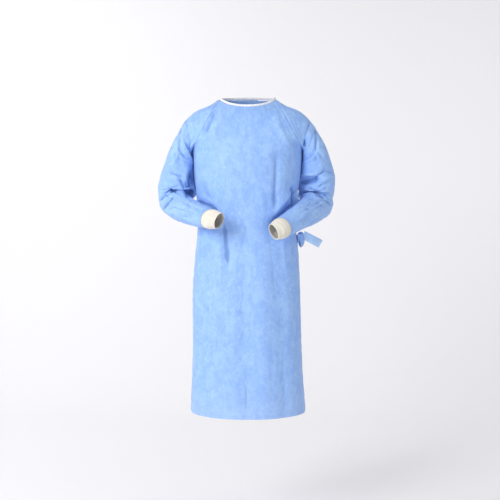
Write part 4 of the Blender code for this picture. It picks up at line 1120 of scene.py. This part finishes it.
def knit_group():
    """Rib knit: columns of V-shaped stitches. x runs round the cuff and y along it, in metres."""
    tree, given, made = new_group("rib_knit", [
        ("Cloth", "v", None), ("Column", "f", 0.0018), ("Row", "f", 0.0016),
    ], [("Loop", "f"), ("Shade", "f")])
    parts = add(tree, "SeparateXYZ", {0: given["Cloth"]}).outputs
    column_at = calc(tree, "FRACT", calc(tree, "DIVIDE", parts[0], given["Column"]))
    lean = calc(tree, "ABSOLUTE", calc(tree, "SUBTRACT", column_at, 0.5))
    row_at = calc(tree, "MULTIPLY_ADD", lean, 1.1, calc(tree, "DIVIDE", parts[1], given["Row"]))
    wave = calc(tree, "SINE", calc(tree, "MULTIPLY", row_at, 2 * math.pi))
    loop = calc(tree, "MULTIPLY", mapped(tree, wave, -0.7, 0.6), mapped(tree, lean, 0.5, 0.38))
    loop = calc(tree, "MULTIPLY", loop, mapped(tree, lean, 0.0, 0.10, 0.4, 1.0))
    tree.links.new(loop, made["Loop"])
    tree.links.new(noise(tree, given["Cloth"], 160.0, 3.0, 0.6), made["Shade"])
    return tree


def fuzz_group():
    """Loose surface fibre: fine noise, which the white cloth's roughness follows."""
    tree, given, made = new_group("loose_fibre", [("Cloth", "v", None), ("Grain", "f", 1400.0)],
                                  [("Fibre", "f")])
    tree.links.new(noise(tree, given["Cloth"], given["Grain"], 3.0, 0.7, 1.0), made["Fibre"])
    return tree


def use(tree, group, sockets):
    """A group placed in a material, with its inputs."""
    node = add(tree, "Group", node_tree=group)
    for name, value in sockets.items():
        if isinstance(value, bpy.types.NodeSocket):
            tree.links.new(value, node.inputs[name])
        else:
            node.inputs[name].default_value = value
    return node.outputs


def new_material(name, rough, sheen, specular=0.35):
    """A material with its Principled shader, and its tree."""
    material = bpy.data.materials.new(name)
    material.use_nodes = True
    shader = material.node_tree.nodes["Principled BSDF"]
    shader.inputs["Roughness"].default_value = rough
    shader.inputs["Sheen Weight"].default_value = sheen
    shader.inputs["Sheen Roughness"].default_value = 0.4
    shader.inputs["Specular IOR Level"].default_value = specular
    return material, material.node_tree, shader


def relief(tree, shader, height, distance, strength=1.0):
    """A bump from the height, in metres, on the shader."""
    sockets = {"Height": height, "Distance": distance, "Strength": strength}
    tree.links.new(add(tree, "Bump", sockets).outputs[0], shader.inputs["Normal"])


def gown_cloth(groups, name, light, deep, pale):
    """Blue pressed cloth: deep where the web is thin, light where it is thick, pale flecks, a
    stitched line where the piece has one, and a paler, greyer hem. Painted shade darkens the
    hollows of the cloth and the ground beside its seams, and ridges are painted a little paler,
    partly as whitened fibre and partly as painted highlight."""
    material, tree, shader = new_material(name, 0.58, 0.10)
    cloth = add(tree, "UVMap", uv_map="cloth").outputs[0]
    line = add(tree, "UVMap", uv_map="stitch").outputs[0]
    web = use(tree, groups["nonwoven"], {"Cloth": cloth})
    seam = use(tree, groups["stitch"], {"Line": line})
    colour = blended(tree, web["Tone"], deep, light)
    colour = blended(tree, calc(tree, "MULTIPLY", web["Fleck"], 0.50), colour, pale)
    place = add(tree, "SeparateXYZ", {0: add(tree, "TexCoord").outputs["Object"]}).outputs
    low = mapped(tree, place[2], -1.03, -1.19, 0.0, 0.34)
    colour = blended(tree, low, colour, HEM_TINT)
    colour = blended(tree, calc(tree, "MULTIPLY", seam["Dent"], 0.22), colour, deep)
    colour = blended(tree, calc(tree, "MULTIPLY", seam["Thread"], 0.40), colour, pale)
    # Painted shade: darker blue where the cloth lies below the cloth around it and beside its seams;
    # ridges painted a little paler, partly as whitened fibre and partly as painted highlight
    hollow_shade = add(tree, "Attribute", attribute_name="hollow_shade").outputs["Fac"]
    colour = blended(tree, mapped(tree, hollow_shade, -0.5, -3.5, 0.0, 0.15), colour, pale)
    colour = blended(tree, mapped(tree, hollow_shade, 0.2, 2.8, 0.0, 0.80), colour, CLOTH_CREASE_SHADE)
    tree.links.new(colour, shader.inputs["Base Color"])
    tree.links.new(mapped(tree, web["Tone"], 0.0, 1.0, 0.52, 0.66), shader.inputs["Roughness"])
    height = calc(tree, "MULTIPLY_ADD", seam["Dent"], -2.5, web["Relief"])
    height = calc(tree, "MULTIPLY_ADD", seam["Thread"], 2.0, height)
    relief(tree, shader, height, 0.00022, 0.8)
    return material


def white_cloth(groups, name, base, shade):
    """White folded strip or tape: faint clouds, fine fibre and a row of stitches."""
    material, tree, shader = new_material(name, 0.62, 0.10)
    cloth = add(tree, "UVMap", uv_map="cloth").outputs[0]
    line = add(tree, "UVMap", uv_map="stitch").outputs[0]
    web = use(tree, groups["nonwoven"], {"Cloth": cloth, "Clouds": 70.0, "Flecks": 240.0})
    seam = use(tree, groups["stitch"], {"Line": line, "Pitch": 0.0030})
    colour = blended(tree, web["Tone"], shade, base)
    colour = blended(tree, calc(tree, "MULTIPLY", seam["Dent"], 0.35), colour, shade)
    tree.links.new(colour, shader.inputs["Base Color"])
    fibre = use(tree, groups["fuzz"], {"Cloth": cloth})["Fibre"]
    tree.links.new(mapped(tree, fibre, 0.2, 0.8, 0.55, 0.72), shader.inputs["Roughness"])
    height = calc(tree, "MULTIPLY_ADD", seam["Dent"], -2.0, web["Relief"])
    height = calc(tree, "MULTIPLY_ADD", seam["Thread"], 2.0, height)
    relief(tree, shader, height, 0.0002, 0.7)
    return material


def cream_knit(groups):
    """Cream rib knit: loops in relief, shaded a little deeper between them."""
    material, tree, shader = new_material("cream_rib_knit", 0.85, 0.30, 0.2)
    cloth = add(tree, "UVMap", uv_map="cloth").outputs[0]
    knit = use(tree, groups["knit"], {"Cloth": cloth})
    share = calc(tree, "MULTIPLY_ADD", knit["Loop"], 0.5, calc(tree, "MULTIPLY", knit["Shade"], 0.6))
    colour = blended(tree, mapped(tree, share, 0.15, 0.75), KNIT_SHADE, KNIT_CREAM)
    tree.links.new(colour, shader.inputs["Base Color"])
    tree.links.new(mapped(tree, knit["Shade"], 0.3, 0.7, 0.78, 0.92), shader.inputs["Roughness"])
    relief(tree, shader, knit["Loop"], 0.0004, 0.8)
    return material


def joined_round(values, around):
    """The UV corners of each face of a closed tube: those a whole turn from the face's first
    corner are moved by that turn, so that the face isn't drawn right across the map."""
    far = values[..., 0] - values[:, :1, 0]
    values[..., 0] -= np.round(far / around) * around
    return values


def from_grid(name, surface, material, wall=0.0, around=0.0, tube=False, stitch=None,
              capped=False, seam=None):
    """A piece from a grid of points and its map, the run across and along in metres.

    Quads join rows and columns, closed round where the map's length around is given, and face
    away from the middle of their row on a tube, or of the whole piece on a sheet. The second
    map says where the stitched line runs. The wall is laid inwards. Where the way to the seam
    is given, an attribute holds how far each point lies below the cloth around it, in
    millimetres, and more beside the seam; the blue cloth paints shade from it, darker in the
    hollows and beside the seam.
    """
    grid, across, along = surface
    rows, cells = grid.shape[:2]
    index = np.arange(rows * cells).reshape(rows, cells)
    left, right = (index, np.roll(index, -1, axis=1)) if around else (index[:, :-1], index[:, 1:])
    quads = np.stack([left[:-1], right[:-1], right[1:], left[1:]], axis=-1).reshape(-1, 4)
    ends = [index[0, ::-1].tolist(), index[-1].tolist()] if capped else []
    middle = grid.mean(axis=1, keepdims=True) if tube or around else grid.mean(axis=(0, 1))
    corner = grid.reshape(-1, 3)[quads]
    facing = np.cross(corner[:, 2] - corner[:, 0], corner[:, 3] - corner[:, 1])
    away = (grid - middle).reshape(-1, 3)[quads].mean(axis=1)
    if np.sum(facing * away) < 0:
        quads, ends = quads[:, ::-1], [end[::-1] for end in ends]
    mesh = bpy.data.meshes.new(name)
    mesh.from_pydata(grid.reshape(-1, 3).tolist(), [], quads.tolist() + ends)
    for title, pair in (("cloth", (across, along)), ("stitch", stitch or (across, along + 1.0))):
        values = np.zeros((len(mesh.loops), 2), np.float32)
        corners = np.stack(pair, axis=-1).reshape(-1, 2)[quads]
        values[:quads.size] = (joined_round(corners, around) if around else corners).reshape(-1, 2)
        mesh.uv_layers.new(name=title).data.foreach_set("uv", values.ravel())
    outward = grid_normals(grid, round_it=bool(around))
    outward = outward * np.sign(np.sum(outward * (grid - middle)))
    if seam is not None:
        fine, broad = (hollows(grid, outward, bool(around), passes) for passes in (12, 50))
        # Painted shade beside the seam is added to the depth as if a furrow lay there
        depth = fine + 0.4 * broad + SEAM_SHADE_DEPTH * np.exp(-((seam / SEAM_REACH) ** 2))
        hollow_shade = mesh.attributes.new("hollow_shade", "FLOAT", "POINT")
        hollow_shade.data.foreach_set("value", depth.ravel() * 1000)
    mesh.shade_smooth()
    mesh.materials.append(material)
    piece = bpy.data.objects.new(name, mesh)
    bpy.context.scene.collection.objects.link(piece)
    if wall:
        thick = piece.modifiers.new("wall", "SOLIDIFY")
        thick.thickness, thick.offset = wall, -1
    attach(piece, "root")
    return piece


def mapped_by_length(grid):
    """The grid with its run across and along, in metres."""
    return grid, lengths_along(grid, 1), lengths_along(grid, 0)


def mapped_upright(grid):
    """A panel's grid with its run across, counted level from the middle line, and its drop."""
    level = lengths_along(grid * np.array([1, 1, 0]), 1)
    middle = np.abs(grid[..., 0]).argmin(axis=1)
    return grid, level - level[np.arange(len(grid)), middle][:, None], -grid[..., 2]


def side_distance(grid):
    """The way across to the nearer side edge of a panel, in metres."""
    across = lengths_along(grid, 1)
    return np.minimum(across, across[:, -1:] - across)


def hem_and_neck_lines(surface, hem=0.011, neck=0.0125):
    """A stitched line above a panel's hem, and another below its neck edge."""
    across, along = surface[1], lengths_along(surface[0], 0)
    up, middle = along[-1:] - along, along[-1:] / 2
    return across, np.where(along < middle, along - neck, hem - up)


def edge_lines(surface, inset):
    """A stitched line a little in from each long edge of a strip."""
    _, across, along = surface
    total = along[-1:]
    return across, np.minimum(along, total - along) - inset


def spot(name, place, target, size, energy, colour):
    """A square area light at the place that faces the target."""
    lamp = bpy.data.lights.new(name, "AREA")
    lamp.size, lamp.energy, lamp.color = size, energy, colour
    light = bpy.data.objects.new(name, lamp)
    light.location = place
    light.rotation_euler = (Vector(target) - Vector(place)).to_track_quat("-Z", "Y").to_euler()
    bpy.context.scene.collection.objects.link(light)


def backdrop_surface():
    """A sheet that runs along the floor, turns up through a quarter circle and rises behind."""
    bend = np.linspace(0, math.pi / 2, 25)
    radius, back = 1.6, 2.2
    y = np.concatenate([[-9.0, -2.0], back + radius * np.sin(bend), [back + radius]])
    z = np.concatenate([[0.0, 0.0], radius - radius * np.cos(bend), [6.5]]) + FLOOR_Z
    x = np.linspace(-9, 9, 13)
    grid = np.stack(np.broadcast_arrays(x[None, :], y[:, None], z[:, None]), axis=-1)
    return grid


def build_backdrop():
    """The plain pale floor and the wall behind it."""
    grid = backdrop_surface()
    rows, cells = grid.shape[:2]
    index = np.arange(rows * cells).reshape(rows, cells)
    quads = np.stack([index[:-1, :-1], index[:-1, 1:], index[1:, 1:], index[1:, :-1]], axis=-1)
    mesh = bpy.data.meshes.new("backdrop")
    mesh.from_pydata(grid.reshape(-1, 3).tolist(), [], quads.reshape(-1, 4).tolist())
    mesh.shade_smooth()
    material, _, shader = new_material("pale_backdrop", 0.9, 0.0, 0.1)
    shader.inputs["Base Color"].default_value = BACKDROP_COLOUR
    mesh.materials.append(material)
    sheet = bpy.data.objects.new("backdrop", mesh)
    bpy.context.scene.collection.objects.link(sheet)


# Finishes
groups = {"nonwoven": nonwoven_group(), "stitch": stitch_group(), "knit": knit_group(),
          "fuzz": fuzz_group()}
blue = gown_cloth(groups, "blue_pressed_cloth", CLOTH_LIGHT, CLOTH_DEEP, CLOTH_PALE)
# A paler copy of the blue cloth with painted light, for the belt's free end at the front
painted_lit_blue = gown_cloth(groups, "blue_cloth_painted_lit", BELT_PAINTED_LIT, BELT_PAINTED_LIT_DEEP, BELT_PAINTED_LIT)
white = white_cloth(groups, "white_binding_cloth", BINDING_WHITE, BINDING_SHADE)
knit = cream_knit(groups)

# The panels
front_cloth = mapped_upright(front_surface())
front = from_grid("front_cloth", front_cloth, blue, CLOTH_WALL,
                  stitch=hem_and_neck_lines(front_cloth), seam=side_distance(front_cloth[0]))
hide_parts("front_panel")
for side, word in ((LEFT, "left"), (RIGHT, "right")):
    back_cloth = mapped_upright(back_surface(side))
    from_grid(f"back_cloth_{word}", back_cloth, blue, CLOTH_WALL,
                            stitch=hem_and_neck_lines(back_cloth),
                            seam=lengths_along(back_cloth[0], 1))
    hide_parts(f"back_panel_{word}")

# The sleeves and their knit cuffs
sleeves, cuffs = {}, {}
for side, word in ((LEFT, "left"), (RIGHT, "right")):
    grid, across, along = sleeve_surface(side)
    sleeves[word] = from_grid(f"sleeve_cloth_{word}", (grid, across, along), blue,
                              CLOTH_WALL, around=360 * SLEEVE_DEGREE,
                              stitch=(across, SLEEVE_RUN - 0.005 - along),
                              seam=lengths_along(grid, 0))
    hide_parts(f"sleeve_{word}")
    cuffs[word] = from_grid(f"knit_cuff_{word}", cuff_surface(side), knit, KNIT_WALL,
                            around=CUFF_ROUND)
    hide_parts(f"cuff_{word}")

# The binding, the tab and the belt
binding_strip = binding_surface()
binding = from_grid("neck_binding_cloth", binding_strip, white, TAPE_WALL,
                    tube=True, stitch=binding_line(binding_strip))
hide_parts("neck_binding")
tab_strip = mapped_by_length(tab_surface())
tab = from_grid("neck_tab_tape", tab_strip, white, TAPE_WALL,
                stitch=edge_lines(tab_strip, 0.003))
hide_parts("neck_tab")
strips = {"belt_band": belt_band_surface(), "belt_tail_front": tail_front_surface(),
          "belt_tail_back": tail_back_surface(), "belt_loop": loop_surface()}
for node, grid in strips.items():
    strip = mapped_by_length(grid)
    if node != "belt_band":
        strip = (grid, strip[2], strip[1])
    # The free end at the front takes the paler copy of the blue cloth with painted light
    from_grid(node + "_cloth", strip, painted_lit_blue if node == "belt_tail_front" else blue,
                            TAPE_WALL,
                            stitch=edge_lines(strip, 0.0035))
    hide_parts(node)
knot = from_grid("belt_knot_cloth", knot_surface(), blue, around=KNOT_ROUND,
                 capped=True)
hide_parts("belt_knot")

# Studio
build_backdrop()
spot("key", (-1.9, -2.6, 0.6), (0.0, 0.0, -0.55), 1.3, KEY_POWER, (1.0, 0.99, 0.98))
spot("side", (-2.4, -0.7, -0.3), (0.0, 0.0, -0.6), 1.8, SIDE_POWER, (1.0, 0.99, 0.98))
spot("fill", (2.4, -3.0, -0.5), (0.0, 0.0, -0.6), 2.4, FILL_POWER, (0.98, 0.99, 1.0))
spot("wall", (-2.4, 1.2, 1.4), (-1.2, 3.8, -0.4), 1.6, WALL_POWER, (1.0, 1.0, 1.0))
spot("far_wall", (2.6, 1.2, 0.6), (1.6, 3.8, -0.8), 1.6, FAR_WALL_POWER, (1.0, 1.0, 1.0))
world = bpy.data.worlds.new("studio")
world.use_nodes = True
world.node_tree.nodes["Background"].inputs["Color"].default_value = (0.97, 0.98, 1.0, 1.0)
world.node_tree.nodes["Background"].inputs["Strength"].default_value = ROOM_LIGHT
bpy.context.scene.world = world
bpy.context.scene.view_settings.view_transform = "Standard"

# The photograph's viewpoint
camera_data = bpy.data.cameras.new("view")
camera_data.lens, camera_data.sensor_width = 68.75, 36
camera = bpy.data.objects.new("view", camera_data)
camera.location = (0.0094, -3.6, -0.5655)
camera.rotation_euler = (math.pi / 2, 0, 0)
bpy.context.scene.collection.objects.link(camera)
bpy.context.scene.camera = camera
